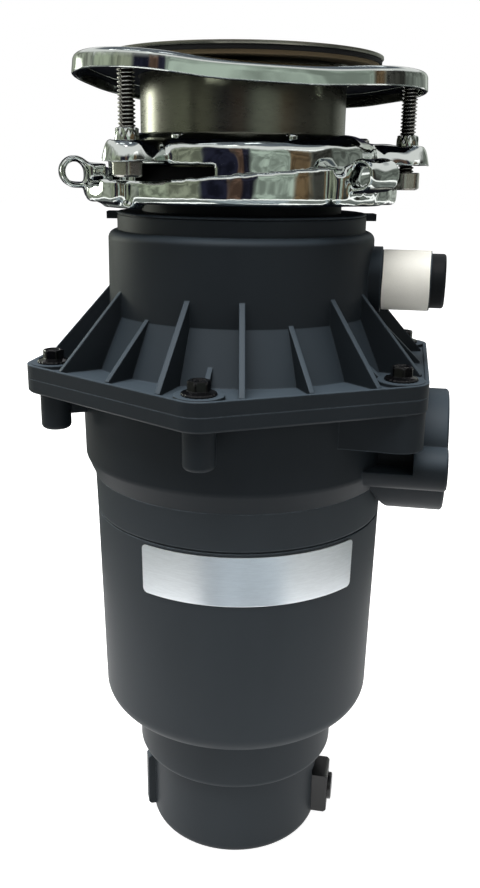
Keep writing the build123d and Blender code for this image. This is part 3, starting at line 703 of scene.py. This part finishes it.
def hexagon(across: float, corner: float = 0.0) -> Curve:
    """The radius of a hexagon at an angle.

    Args:
        across: The width across the flats.
        corner: How much is rounded off each corner.

    Returns:
        A function from angle to radius.
    """

    def radius(angle: float) -> float:
        """The hexagon's radius at one angle."""
        within = (angle + TURN / 12) % (TURN / 6) - TURN / 12
        return min(across / 2 / cos(within), across / 2 / cos(TURN / 12) - corner)

    return radius


def place_around(angle: float, radius: float, height: float) -> Matrix:
    """A place on a circle about the upright axis, facing outward, in degrees and millimetres."""
    turn = Matrix.Rotation(radians(angle), 4, "Z")
    return turn @ Matrix.Translation((radius, 0, height))


def heading(angle: float) -> Vector:
    """The level way out from the upright axis at an angle in degrees."""
    return Vector((cos(radians(angle)), sin(radians(angle)), 0))


def clamped(share: float) -> float:
    """The nearest number from 0 to 1."""
    return min(1.0, max(0.0, share))


@dataclass
class MountBolts:
    """The three threaded bolts that press the support ring up."""

    advances: tuple[float, ...] = (4.3, 0.0, 0.9)
    head_turns: tuple[float, ...] = (15.0, 50.0, 0.0)
    lowest_head_top: float = 314.9
    head_across: float = 11.0
    head_height: float = 7.0
    length: float = 34.9
    crest: float = 3.25
    root: float = 2.5
    pitch: float = 1.4
    tip_taper: float = 0.9
    sides: int = 32
    head_sides: int = 48
    rows_per_pitch: int = 8

    def thread_radius(self, share: float) -> float:
        """The thread's radius at a share of one pitch."""
        ramp = 1 - abs(2 * (share % 1) - 1)
        return self.root + (self.crest - self.root) * clamped(1.6 * ramp - 0.3)

    def draw_thread(self, draft: Draft) -> None:
        """Draws the threaded shank up from the head's top face.

        Args:
            draft: The bolt's mesh, whose zero height is the head's top face.
        """
        turns = int(self.length / self.pitch) + 2
        rows = []
        for row in range(turns * self.rows_per_pitch + 1):
            along = row / self.rows_per_pitch
            points = []
            for k in range(self.sides):
                share = k / self.sides
                height = min(max((along + share - 1) * self.pitch, 0.0), self.length)
                taper = self.crest - self.tip_taper + self.length - height
                radius = min(self.thread_radius(along), taper)
                angle = TURN * share
                points.append((radius * cos(angle), radius * sin(angle), height))
            rows.append(points)
        first, last = draft.rows(rows)
        draft.cap(last)
        draft.cap(first)
        # Each point carries how deep it lies in the thread, for the painted shade in the grooves.
        for vertex in draft.mesh.verts:
            radius = hypot(vertex.co.x, vertex.co.y) / MM
            depth = (self.crest - radius) / (self.crest - self.root)
            vertex[draft.groove] = clamped(1.5 * depth - 0.25)

    def draw_head(self, draft: Draft) -> None:
        """Draws the hexagon head below the shank.

        Args:
            draft: The bolt's mesh.
        """
        flat = hexagon(self.head_across, 0.25)
        outline = [
            (hexagon(self.head_across - 0.5, 0.5), 0.0),
            (flat, -0.35),
            (flat, -self.head_height + 0.75),
            (hexagon(self.head_across - 1.3, 0.5), -self.head_height + 0.08),
            (hexagon(self.head_across - 2.0, 0.8), -self.head_height),
        ]
        first, last = draft.turned(outline, self.head_sides)
        draft.cap(first)
        draft.cap(last)

    def build(self) -> None:
        """Builds the bolts in place of the plain ones."""
        rows = zip(BOLT_ANGLES, self.advances, self.head_turns)
        for number, (angle, advance, turn) in enumerate(rows, 1):
            place = place_around(angle, BOLT_CIRCLE, self.lowest_head_top + advance)
            place = place @ Matrix.Rotation(radians(turn), 4, "Z")
            draft = Draft()
            self.draw_thread(draft)
            self.draw_head(draft)
            bolt = draft.piece(f"mount_bolt_{number}", Finishes.zinc, "sink_clamp", place)
            if number == 1:
                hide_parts("mount_bolts")


@dataclass
class CrimpedCollars:
    """The short collars through the mounting ring's ears, staked round each bolt."""

    ear_top: float = 326.0
    bore: float = 3.36
    radius: float = 4.5
    rise: float = 3.5
    foot: float = -1.9
    dent: float = 0.24
    steps: int = 8
    sides: int = 96

    def dented(self, height: float, number: int) -> Curve:
        """The collar's outer radius at an angle, with the punch's dents in it.

        Args:
            height: The height above the ear, from 0 to 1 of the collar's rise.
            number: The collar's number, which turns its dents.

        Returns:
            A function from angle to radius.
        """

        def radius(angle: float) -> float:
            """The radius at one angle.

            Args:
                angle: The angle, in radians.

            Returns:
                The radius there.
            """
            broad = sin(9 * angle + number + 2.2 * height)
            narrow = 0.6 * sin(14 * angle - 3 * height)
            return self.radius + self.dent * (broad + narrow) * (0.25 + height) - 0.5 * height

        return radius

    def build(self) -> None:
        """Builds the collars in place of the plain ones."""
        for number, angle in enumerate(BOLT_ANGLES, 1):
            draft = Draft()
            outline: list[tuple[Any, float]] = [(self.bore, self.foot), (self.radius, self.foot)]
            for step in range(self.steps + 1):
                share = step / self.steps
                outline.append((self.dented(share, number), share * (self.rise - 0.3)))
            outline += [(self.radius - 0.75, self.rise), (self.bore, self.rise - 0.35)]
            first, last = draft.turned(outline, self.sides)
            draft.bridge(last, first)
            place = place_around(angle, BOLT_CIRCLE, self.ear_top)
            collar = draft.piece(f"bolt_collar_{number}", Finishes.chrome, "housing", place, 25)
            if number == 1:
                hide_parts("bolt_collars")


@dataclass
class FlangeScrews:
    """The six black washer-head screws that hold the hopper on the lower housing."""

    angles: tuple[float, ...] = (30, 90, 150, 210, 270, 330)
    circle: float = 83.0
    seat: float = 236.9
    shank: float = 2.0
    length: float = 25.0
    washer_radius: float = 6.8
    across: float = 8.0
    height: float = 5.6
    turn_each: float = 17.0
    teeth: int = 20
    sides: int = 120
    recess_arm: float = 0.62
    recess_reach: float = 2.2
    recess_top: float = 5.0
    recess_floor: float = 3.4
    recess_taper: float = 0.55

    def serrated(self, radius: float, depth: float) -> Curve:
        """A circle with shallow teeth, as a radius at an angle."""
        return lambda angle: radius - depth * (0.5 + 0.5 * cos(self.teeth * angle)) ** 2

    def build_one(self, number: int, angle: float) -> Object:
        """Builds one screw.

        Args:
            number: The screw's number.
            angle: Its angle about the upright axis, in degrees.

        Returns:
            The screw.
        """
        cap = hexagon(self.across, 0.2)
        outline: list[tuple[Any, float]] = [
            (self.shank, -self.length),
            (self.shank, 0.0),
            (self.serrated(self.washer_radius - 0.1, 0.35), 0.0),
            (self.serrated(self.washer_radius, 0.3), 0.45),
            (self.serrated(self.washer_radius - 0.35, 0.3), 1.0),
            (hexagon(self.across + 1.2, 0.4), 1.45),
            (hexagon(self.across + 0.2, 0.2), 1.75),
            (cap, 2.1),
            (cap, self.height - 0.6),
            (hexagon(self.across - 0.5, 0.35), self.height - 0.15),
            (hexagon(self.across - 1.5, 0.5), self.height),
            (2.75, self.height - 0.15),
            (2.55, self.height - 0.5),
        ]
        draft = Draft()
        first, rim = draft.turned(outline, self.sides)
        draft.cap(first)
        self.draw_recess(draft, rim)
        turn = Matrix.Rotation(radians(self.turn_each * number), 4, "Z")
        place = place_around(angle, self.circle, self.seat) @ turn
        return draft.piece(f"flange_screw_{number}", Finishes.blackened, "housing", place, 30)

    def draw_recess(self, draft: Draft, rim: Sequence) -> None:
        """Draws the cross recess inside the head's rim.

        Args:
            draft: The screw's mesh.
            rim: The round edge of the head's dished top.
        """
        arm, reach, taper = self.recess_arm, self.recess_reach, self.recess_taper
        corners = []
        for quarter in range(4):
            turn = Matrix.Rotation(TURN * quarter / 4, 3, "Z")
            for x, y in ((arm, -arm), (reach, -arm), (reach, arm)):
                corners.append(turn @ Vector((x, y, self.recess_top)))
        top = draft.loop(tuple(corner) for corner in corners)
        edges = [draft.mesh.edges.new((a, b)) for a, b in zip(top, [*top[1:], top[0]])]
        outer = [draft.mesh.edges.get((a, b)) for a, b in zip(rim, [*rim[1:], rim[0]])]
        bmesh.ops.triangle_fill(draft.mesh, use_beauty=True, edges=edges + outer)
        low = draft.loop((c.x * taper, c.y * taper, self.recess_floor) for c in corners)
        draft.bridge(top, low)
        draft.cap(low)

    def build(self) -> None:
        """Builds the screws in place of the plain ones."""
        screws = [self.build_one(k, angle) for k, angle in enumerate(self.angles, 1)]
        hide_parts("flange_screws")


@dataclass
class InletLabel:
    """The bare paper label that is wrapped round the inlet tube, with a lapped end."""

    height: float = 271.0
    start: float = 61.6
    end: float = 81.0
    radius: float = 12.53
    thickness: float = 0.12
    lap_angle: float = -62.0
    lap: float = 24.0
    lap_start: float = 0.86
    lap_rise: float = 0.14
    lap_slope: float = 1.6
    skew: float = 0.12
    steps: int = 150

    def radius_at(self, share: float) -> float:
        """The wrap's inner radius at a share of its length."""
        past = (share - self.lap_start) / (1 - self.lap_start)
        return self.radius + self.lap_rise * clamped(past * self.lap_slope)

    def build(self) -> None:
        """Builds the label in place of the plain sleeve."""
        draft = Draft()
        outline = [(self.start, 0.0), (self.start, self.thickness)]
        outline += [(self.end, self.thickness), (self.end, 0.0)]
        rows = []
        for k in range(self.steps + 1):
            share = k / self.steps
            angle = radians(self.lap_angle - self.lap / 2 + share * (360 + self.lap))
            across, up = cos(angle), sin(angle)
            row = []
            for along, out in outline:
                skew = self.skew * sin(3 * angle) * (1 if along == self.start else -1)
                radius = self.radius_at(share) + out
                row.append((along + skew, radius * across, self.height + radius * up))
            rows.append(row)
        first, last = draft.rows(rows)
        draft.cap(first)
        draft.cap(last)
        label = draft.piece("inlet_label_wrap", Finishes.label, "housing")
        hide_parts("inlet_label")


@dataclass
class CarriedParts:
    """The solids whose shape is right, which only need their finish."""

    finishes: dict[str, Finish] = field(default_factory=Finishes.by_slot)

    def build(self) -> None:
        """Gives each solid its own finish."""
        for row in frame["record"]["subparts"]:
            node = frame["nodes"][row["node"]]
            finish = self.finishes[row["material_slot"]]
            for slot in node.material_slots:
                slot.material = finish.material()
            log.info("%s: %s", row["node"], finish.slot)


@dataclass
class SupportRing:
    """The three-cornered plated ring under the gaskets, whose corners the bolts bend up."""

    corner_angles: tuple[float, ...] = (-129.0, -9.0, 111.0)
    corner_circle: float = 42.0
    corner_radius: float = 34.0
    bore: float = 43.4
    depth: float = 7.1
    sheet: float = 1.5
    round_over: float = 2.2
    bend_start: float = 44.5
    bend: float = 5.0
    bend_ease: float = 6.0
    tip_heights: tuple[float, ...] = (354.1, 349.8, 350.7)
    tip_gap: float = 0.42
    ripple: float = 0.07
    ripple_length: float = 13.0
    corner_steps: int = 60
    side_steps: int = 36
    top_steps: int = 10
    round_steps: int = 8

    def outline(self) -> list[tuple[Vector, Vector]]:
        """Points round the ring's edge in plan, each with the way that it faces.

        Returns:
            The points in order, in millimetres.
        """
        ways = [heading(angle).to_2d() for angle in self.corner_angles]
        points = []
        for k, angle in enumerate(self.corner_angles):
            centre = ways[k] * self.corner_circle
            for step in range(self.corner_steps + 1):
                way = heading(angle - 60 + 120 * step / self.corner_steps).to_2d()
                points.append((centre + way * self.corner_radius, way))
            start = points[-1][0]
            end = ways[(k + 1) % 3] * self.corner_circle + way * self.corner_radius
            shares = [step / self.side_steps for step in range(1, self.side_steps)]
            points += [(start.lerp(end, share), way) for share in shares]
        return points

    def section(self, edge: Vector, way: Vector) -> list[Point]:
        """The sheet's outline where it is cut across at one point of the edge.

        Args:
            edge: The point of the edge, in plan.
            way: The way that the edge faces there.

        Returns:
            The points from the bore, over the top, round the lip and back underneath.
        """
        inner = edge.normalized() * self.bore
        crown = edge - way * self.round_over
        lip = edge - way * self.sheet
        row = [(*inner.lerp(crown, k / self.top_steps), 0.0) for k in range(self.top_steps)]
        for step in range(self.round_steps + 1):
            turn = TURN / 4 * step / self.round_steps
            place = crown + way * self.round_over * sin(turn)
            row.append((*place, self.round_over * (cos(turn) - 1)))
        for share in (0.35, 0.7, 0.93):
            row.append((*edge, -self.round_over - share * (self.depth - self.round_over)))
        row.append((*(edge - way * 0.35), -self.depth))
        row.append((*lip, -self.depth))
        row += [(*lip, -self.depth * 0.6), (*lip, -self.sheet)]
        back = range(1, self.top_steps + 1)
        return row + [(*lip.lerp(inner, k / self.top_steps), -self.sheet) for k in back]

    def bent(self, place: Point) -> Vector:
        """Where a point goes when the corners are bent up.

        Args:
            place: The point on the flat ring.

        Returns:
            Its place on the bent ring.
        """
        moved = Vector(place)
        up = self.depth + moved.z
        for angle in self.corner_angles:
            out = heading(angle)
            past = moved.dot(out) - self.bend_start
            if past > -self.bend_ease:
                full = tan(radians(self.bend))
                near = min(past, self.bend_ease) + self.bend_ease
                eased = full * near**2 / (4 * self.bend_ease)
                rise = full * past if past > self.bend_ease else eased
                tilt = atan(full * near / (2 * self.bend_ease))
                moved -= out * (past * (1 - cos(tilt)) * (past > 0) + up * sin(tilt))
                moved.z += rise + up * (cos(tilt) - 1)
        return moved

    def lean(self) -> Matrix:
        """The ring's place on the three uneven bolt tips.

        Returns:
            The matrix that sets the ring down there.
        """
        tips = zip(self.tip_heights, BOLT_ANGLES)
        slope = sum((heading(angle) * height for height, angle in tips), Vector((0, 0, 0)))
        slope *= 2 / (3 * BOLT_CIRCLE)
        tilt = atan(slope.length)
        line = Matrix.Rotation(atan2(slope.y, slope.x) - TURN / 4, 4, "Z")
        reach = BOLT_CIRCLE * cos(radians(self.corner_angles[0] - BOLT_ANGLES[0]))
        rise = (reach - self.bend_start) * sin(radians(self.bend))
        height = sum(self.tip_heights) / 3 + self.sheet + self.tip_gap - rise
        turned = line @ Matrix.Rotation(tilt, 4, "X") @ line.inverted()
        return Matrix.Translation((0, 0, height)) @ turned

    def build(self) -> None:
        """Builds the ring in place of the plain one."""
        draft = Draft()
        rows = []
        for edge, way in self.outline():
            row = [self.bent(point) for point in self.section(edge, way)]
            waves = [noise.noise_vector(point / self.ripple_length) for point in row]
            rows.append([point + wave * self.ripple for point, wave in zip(row, waves)])
        first, last = draft.rows(rows)
        draft.bridge(last, first)
        ring = draft.piece("support_ring_pressed", Finishes.chrome, "sink_clamp", self.lean(), 40)
        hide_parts("support_ring")


@dataclass
class PressMarks:
    """The small raised and dented knobs that the press leaves on the mounting ring's shoulder."""

    turns: tuple[float, ...] = (9.4, 58.9)
    circle: float = 50.6
    base: float = 326.2
    radius: float = 2.5
    rise: float = 2.3
    profile: tuple[tuple[float, float], ...] = (
        (1.0, 0.0), (1.0, 0.45), (0.93, 0.72), (0.72, 0.93), (0.45, 1.0), (0.25, 0.78), (0.08, 0.7)
    )
    sides: int = 40

    def dented(self, size: float, number: int) -> Curve:
        """A small circle with uneven dents, as a radius at an angle."""
        return lambda a: size * (1 + 0.12 * sin(3 * a + number) + 0.08 * sin(5 * a - number))

    def build(self) -> None:
        """Builds the knobs on the shoulder."""
        places = [angle + turn for angle in BOLT_ANGLES for turn in self.turns]
        for number, angle in enumerate(places, 1):
            draft = Draft()
            outline = [
                (self.dented(self.radius * r, number), self.rise * z) for r, z in self.profile
            ]
            first, last = draft.turned(outline, self.sides)
            draft.cap(first)
            draft.cap(last)
            place = place_around(angle, self.circle, self.base)
            draft.piece(f"press_mark_{number}", Finishes.chrome, "housing", place, 60)


@dataclass
class PressedSheet:
    """A plated ring of pressed sheet, with the soft corners and waves that the press leaves."""

    node: str
    body: str
    rounds: int
    soft_rounds: int
    soft_radius: float
    wave: float
    outer_wave: float
    outer_radius: float
    soft_above: float = 0.0
    wave_length: float = 16.0
    outer_fade: float = 3.0
    cell: float = 0.7

    def even_mesh(self) -> Mesh:
        """The solid's surface again, in small even faces.

        Returns:
            The mesh, in metres.
        """
        source = frame["nodes"][self.node]
        solid = stand(f"{self.node}_even", source.data.copy())
        remesh = solid.modifiers.new("even", "REMESH")
        remesh.mode = "VOXEL"
        remesh.voxel_size = self.cell * MM
        ready = solid.evaluated_get(bpy.context.evaluated_depsgraph_get())
        even = bpy.data.meshes.new_from_object(ready)
        bpy.data.objects.remove(solid)
        return even

    def soften(self, draft: BMesh) -> None:
        """Rounds the corners, and most of all those of the outer and upper part.

        Args:
            draft: The even mesh, in metres.
        """
        every = list(draft.verts)
        drawn = [
            vertex
            for vertex in every
            if vertex.co.z > self.soft_above * MM
            and hypot(vertex.co.x, vertex.co.y) > self.soft_radius * MM
        ]
        axes = {f"use_axis_{axis}": True for axis in "xyz"}
        for verts, rounds in ((every, self.rounds), (drawn, self.soft_rounds)):
            for _ in range(rounds):
                bmesh.ops.smooth_vert(draft, verts=verts, factor=0.5, **axes)

    def ripple(self, draft: BMesh) -> None:
        """Moves both faces of the sheet together in slow waves, with quicker ones outside.

        Args:
            draft: The softened mesh, in metres.
        """
        long, short = self.wave_length * MM, 0.5 * self.wave_length * MM
        for vertex in draft.verts:
            radius = hypot(vertex.co.x, vertex.co.y) / MM
            outside = clamped((radius - self.outer_radius) / self.outer_fade)
            slow = noise.noise_vector(vertex.co / long, noise_basis="BLENDER")
            quick = noise.noise_vector(vertex.co / short, noise_basis="BLENDER")
            vertex.co += (slow * self.wave + quick * self.outer_wave * outside) * MM

    def build(self) -> None:
        """Builds the sheet in place of the plain one."""
        data = self.even_mesh()
        draft = bmesh.new()
        draft.from_mesh(data)
        self.soften(draft)
        self.ripple(draft)
        draft.to_mesh(data)
        draft.free()
        data.shade_smooth()
        data.materials.clear()
        piece = dress(f"{self.node}_pressed", data, Finishes.chrome, self.body)
        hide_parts(self.node)


@dataclass
class LockRing(PressedSheet):
    """The ring with lobes and rolled wrench ears that turns to lock the body up."""

    node: str = "lock_ring"
    body: str = "lock_ring"
    rounds: int = 6
    soft_rounds: int = 9
    soft_radius: float = 60.0
    wave: float = 0.14
    outer_wave: float = 0.4
    outer_radius: float = 61.5


@dataclass
class MountingRing(PressedSheet):
    """The ring with a drawn shoulder and three hollow ears that the bolts go through."""

    node: str = "mounting_ring"
    body: str = "housing"
    rounds: int = 5
    soft_rounds: int = 16
    soft_radius: float = 46.0
    wave: float = 0.16
    outer_wave: float = 0.34
    outer_radius: float = 47.0
    soft_above: float = 318.0
    swell: float = 0.16
    ear_start: float = 54.0
    ear_ease: float = 6.0
    ear_half_width: float = 12.0
    ear_bottom: float = 317.0

    def soften(self, draft: BMesh) -> None:
        """Rounds the corners, and swells each ear sideways, as the press draws it.

        Args:
            draft: The even mesh, in metres.
        """
        super().soften(draft)
        for vertex in draft.verts:
            for out in map(heading, BOLT_ANGLES):
                along = Vector((-out.y, out.x, 0))
                reach, side = vertex.co.dot(out) / MM, vertex.co.dot(along) / MM
                if abs(side) < self.ear_half_width and vertex.co.z > self.ear_bottom * MM:
                    share = clamped((reach - self.ear_start) / self.ear_ease)
                    vertex.co += along * side * self.swell * share * MM


class Lay(Enum):
    """How a card is set up."""

    UPRIGHT = "upright"
    FLAT = "flat"


@dataclass(frozen=True)
class Card:
    """A plain board round the object, over it or under it, for the polished metal to show.

    An upright card stands at one radius and reaches between two heights, and a flat one lies at
    one height and reaches between two radii, in metres. It fades out over the soft degrees.
    """

    name: str
    azimuth: float
    span: float
    glow: Point
    at: float = 1.2
    reach: tuple[float, float] = (0.0, 0.95)
    soft: float = 5.0
    lay: Lay = Lay.UPRIGHT
    rises: int = 8
    top_fade: float = 4.0
    mottle: tuple[float, float] = (0.6, 1.5)

    def draw(self) -> Mesh:
        """Draws the board, and how far each of its points is from fading out.

        Returns:
            The board's mesh, in metres.
        """
        steps = max(8, int(self.span))
        draft = bmesh.new()
        fade = draft.verts.layers.float.new(FADE)
        edges = []
        for rise in range(self.rises + 1):
            share = rise / self.rises
            along = self.reach[0] + (self.reach[1] - self.reach[0]) * share
            radius, height = (self.at, along) if self.lay is Lay.UPRIGHT else (along, self.at)
            edge = []
            for k in range(steps + 1):
                angle = radians(self.azimuth + self.span * (k / steps - 0.5))
                point = draft.verts.new((radius * cos(angle), radius * sin(angle), height))
                near = min(k, steps - k) * self.span / steps / self.soft if self.span < 360 else 1.0
                point[fade] = min(1.0, near, self.top_fade * (1 - share))
                edge.append(point)
            edges.append(edge)
        for below, above in zip(edges, edges[1:]):
            for low, low_next, high, high_next in zip(below, below[1:], above, above[1:]):
                draft.faces.new((low, low_next, high_next, high))
        return mesh_from(self.name, draft)

    def build(self) -> None:
        """Stands the card in its place, where only glossy rays see it."""
        card = stand(self.name, self.draw())
        for ray in ("camera", "diffuse", "transmission", "volume_scatter", "shadow"):
            setattr(card, f"visible_{ray}", False)
        material, graph = new_material(self.name)
        dark, light = (tuple(part * gain for part in self.glow) + (1.0,) for gain in self.mottle)
        paint = graph.mix(graph.noise(6, 3, 0.6).between(0.38, 0.62), dark, light)
        board = graph.add("ShaderNodeEmission", None, {"Color": paint, "Strength": 1.0})
        clear = graph.add("ShaderNodeBsdfTransparent")
        shown = {0: graph.drawn(FADE), 1: clear, 2: board}
        graph.end(graph.add("ShaderNodeMixShader", None, shown))
        card.data.materials.append(material)


@dataclass(frozen=True)
class Lamp:
    """One soft square lamp, with its places and side in metres and its power in watts."""

    name: str
    place: Point
    aim: Point
    size: float
    power: float

    def build(self) -> None:
        """Hangs the lamp so that it faces what it aims at."""
        data = bpy.data.lights.new(self.name, "AREA")
        data.size = self.size
        data.energy = self.power
        lamp = stand(self.name, data)
        lamp.location = self.place
        towards = Vector(self.aim) - Vector(self.place)
        lamp.rotation_euler = towards.to_track_quat("-Z", "Y").to_euler()


@dataclass
class Studio:
    """The floor, the lamps, the cards and the camera."""

    cards: tuple[Card, ...] = (
        Card("far_boards", 0, 360, (0.16, 0.18, 0.16), 1.32),
        Card("left_board", -150, 40, (0.34, 0.38, 0.29), 1.24),
        Card("left_front_board", -124, 30, (0.27, 0.29, 0.22)),
        Card("dark_front_board", -100, 28, (0.015, 0.016, 0.03), 1.18),
        Card("brown_front_board", -83, 17, (0.13, 0.08, 0.06), 1.16, soft=3),
        Card("navy_front_board", -75, 12, (0.02, 0.02, 0.035), 1.14, soft=3),
        Card("right_front_board", -56, 36, (0.40, 0.47, 0.41)),
        Card("brown_right_board", -34, 20, (0.15, 0.10, 0.055), 1.18),
        Card("dark_right_board", -10, 36, (0.045, 0.045, 0.04)),
        Card("right_board", 27, 48, (0.19, 0.21, 0.19), 1.24),
        Card("right_back_board", 63, 36, (0.42, 0.45, 0.41)),
        Card("back_board", 102, 50, (0.02, 0.02, 0.032), 1.18),
        Card("back_left_board", 150, 52, (0.34, 0.37, 0.30)),
        Card("left_back_board", -178, 30, (0.30, 0.32, 0.27), 1.24),
        Card("left_strip", 158, 24, (9.0, 9.4, 8.2), 1.15, (0.24, 0.6), 8),
        Card("ceiling_board", 0, 360, (0.13, 0.15, 0.18), 1.16, (0.0001, 0.95), lay=Lay.FLAT),
        Card("ceiling_light_left", -125, 34, (2.4, 2.5, 2.6), 1.14, (0.5, 0.62), 4, Lay.FLAT),
        Card("ceiling_light_right", -62, 30, (2.4, 2.5, 2.6), 1.14, (0.3, 0.42), 4, Lay.FLAT),
        Card("ceiling_light_back", 60, 60, (1.6, 1.7, 1.8), 1.14, (0.4, 0.5), 4, Lay.FLAT),
        Card("table_board", -75, 66, (0.40, 0.46, 0.5), 0.003, (0.2, 0.95), lay=Lay.FLAT),
        Card("table_round", 0, 360, (0.22, 0.24, 0.23), 0.002, (0.3, 0.95), lay=Lay.FLAT),
    )
    lamps: tuple[Lamp, ...] = (
        Lamp("overhead", (-0.2, -0.3, 1.7), (0, 0, 0.2), 1.4, 62),
        Lamp("left", (-1.6, -0.4, 0.5), (0, 0, 0.1), 0.9, 3.5),
        Lamp("right", (1.5, -0.8, 0.7), (0, 0, 0.2), 0.9, 4),
    )
    floor_size: float = 14.0
    floor_drop: float = 0.0004
    floor_tone: float = 0.6
    floor_glow: float = 0.95
    world_light: float = 0.2
    sensor: float = 36.0
    focal_px: float = 894.09
    frame_height_px: int = 888
    camera_distance: float = 0.39624
    camera_height: float = 0.3157
    azimuth: float = 10.2
    pitch: float = 0.2861
    roll: float = 0.0126
    centre_shift: tuple[float, float] = (0.94, -12.42)
    clip: tuple[float, float] = (0.02, 60.0)

    def camera(self) -> None:
        """Places the camera where the photograph was taken from."""
        data = bpy.data.cameras.new("photo_camera")
        data.sensor_fit = "VERTICAL"
        data.sensor_height = self.sensor
        data.lens = self.focal_px * self.sensor / self.frame_height_px
        data.shift_x, data.shift_y = (part / self.frame_height_px for part in self.centre_shift)
        data.clip_start, data.clip_end = self.clip
        camera = stand("photo_camera", data)
        turn = radians(self.azimuth)
        place = Vector((sin(turn), -cos(turn), 0)) * self.camera_distance
        place.z = self.camera_height
        towards = Matrix.Rotation(turn, 4, "Z") @ Matrix.Rotation(TURN / 4 - self.pitch, 4, "X")
        towards @= Matrix.Rotation(self.roll, 4, "Z")
        camera.matrix_world = Matrix.Translation(place) @ towards
        bpy.context.scene.camera = camera

    def floor(self) -> None:
        """Lays a pale floor that keeps a faint shadow and shows white to the camera."""
        draft = bmesh.new()
        bmesh.ops.create_grid(draft, x_segments=1, y_segments=1, size=self.floor_size / 2)
        floor = stand("floor", mesh_from("floor", draft))
        floor.location.z = -self.floor_drop
        material, graph = new_material("pale_floor")
        seen = self.background_rays(graph)
        paper = graph.add("ShaderNodeBsdfDiffuse", None, {"Color": (*[self.floor_tone] * 3, 1)})
        white = {"Color": (1, 1, 1, 1), "Strength": self.floor_glow}
        glow = graph.add("ShaderNodeEmission", None, white)
        lit = graph.add("ShaderNodeAddShader", None, {0: paper, 1: glow})
        graph.end(graph.add("ShaderNodeMixShader", None, {0: seen, 1: paper, 2: lit}))
        floor.data.materials.append(material)

    @staticmethod
    def background_rays(graph: Graph) -> Value:
        """1 for the rays that see the white background, and 0 for those that carry its light.

        Args:
            graph: The tree to add the test to.

        Returns:
            The test.
        """
        rays = graph.add("ShaderNodeLightPath")
        seen = rays.math("MAXIMUM", rays, rays.also("Is Glossy Ray"))
        return rays.math("MAXIMUM", seen, rays.also("Is Transmission Ray"))

    def world(self) -> None:
        """Makes the background white and the light that it gives soft."""
        world = bpy.data.worlds.new("studio")
        bpy.context.scene.world = world
        world.use_nodes = True
        graph = Graph(world.node_tree)
        strength = self.background_rays(graph) * (1 - self.world_light) + self.world_light
        white = {"Color": (1, 1, 1, 1), "Strength": strength}
        shade = graph.add("ShaderNodeBackground", None, white)
        graph.add("ShaderNodeOutputWorld", None, {"Surface": shade})

    def build(self) -> None:
        """Sets the whole stage."""
        self.camera()
        self.floor()
        self.world()
        for part in (*self.lamps, *self.cards):
            part.build()
        bpy.context.scene.view_settings.view_transform = "Standard"


def main() -> None:
    """Sets the stage, dresses the solids and builds every finer piece."""
    logging.basicConfig(level=logging.INFO, format="%(name)s: %(message)s")
    parts = (
        Studio(),
        CarriedParts(),
        MountBolts(),
        CrimpedCollars(),
        PressMarks(),
        SupportRing(),
        MountingRing(),
        LockRing(),
        FlangeScrews(),
        InletLabel(),
    )
    noise.seed_set(RIPPLE_SEED)
    for part in parts:
        part.build()


if __name__ == "__main__":
    main()
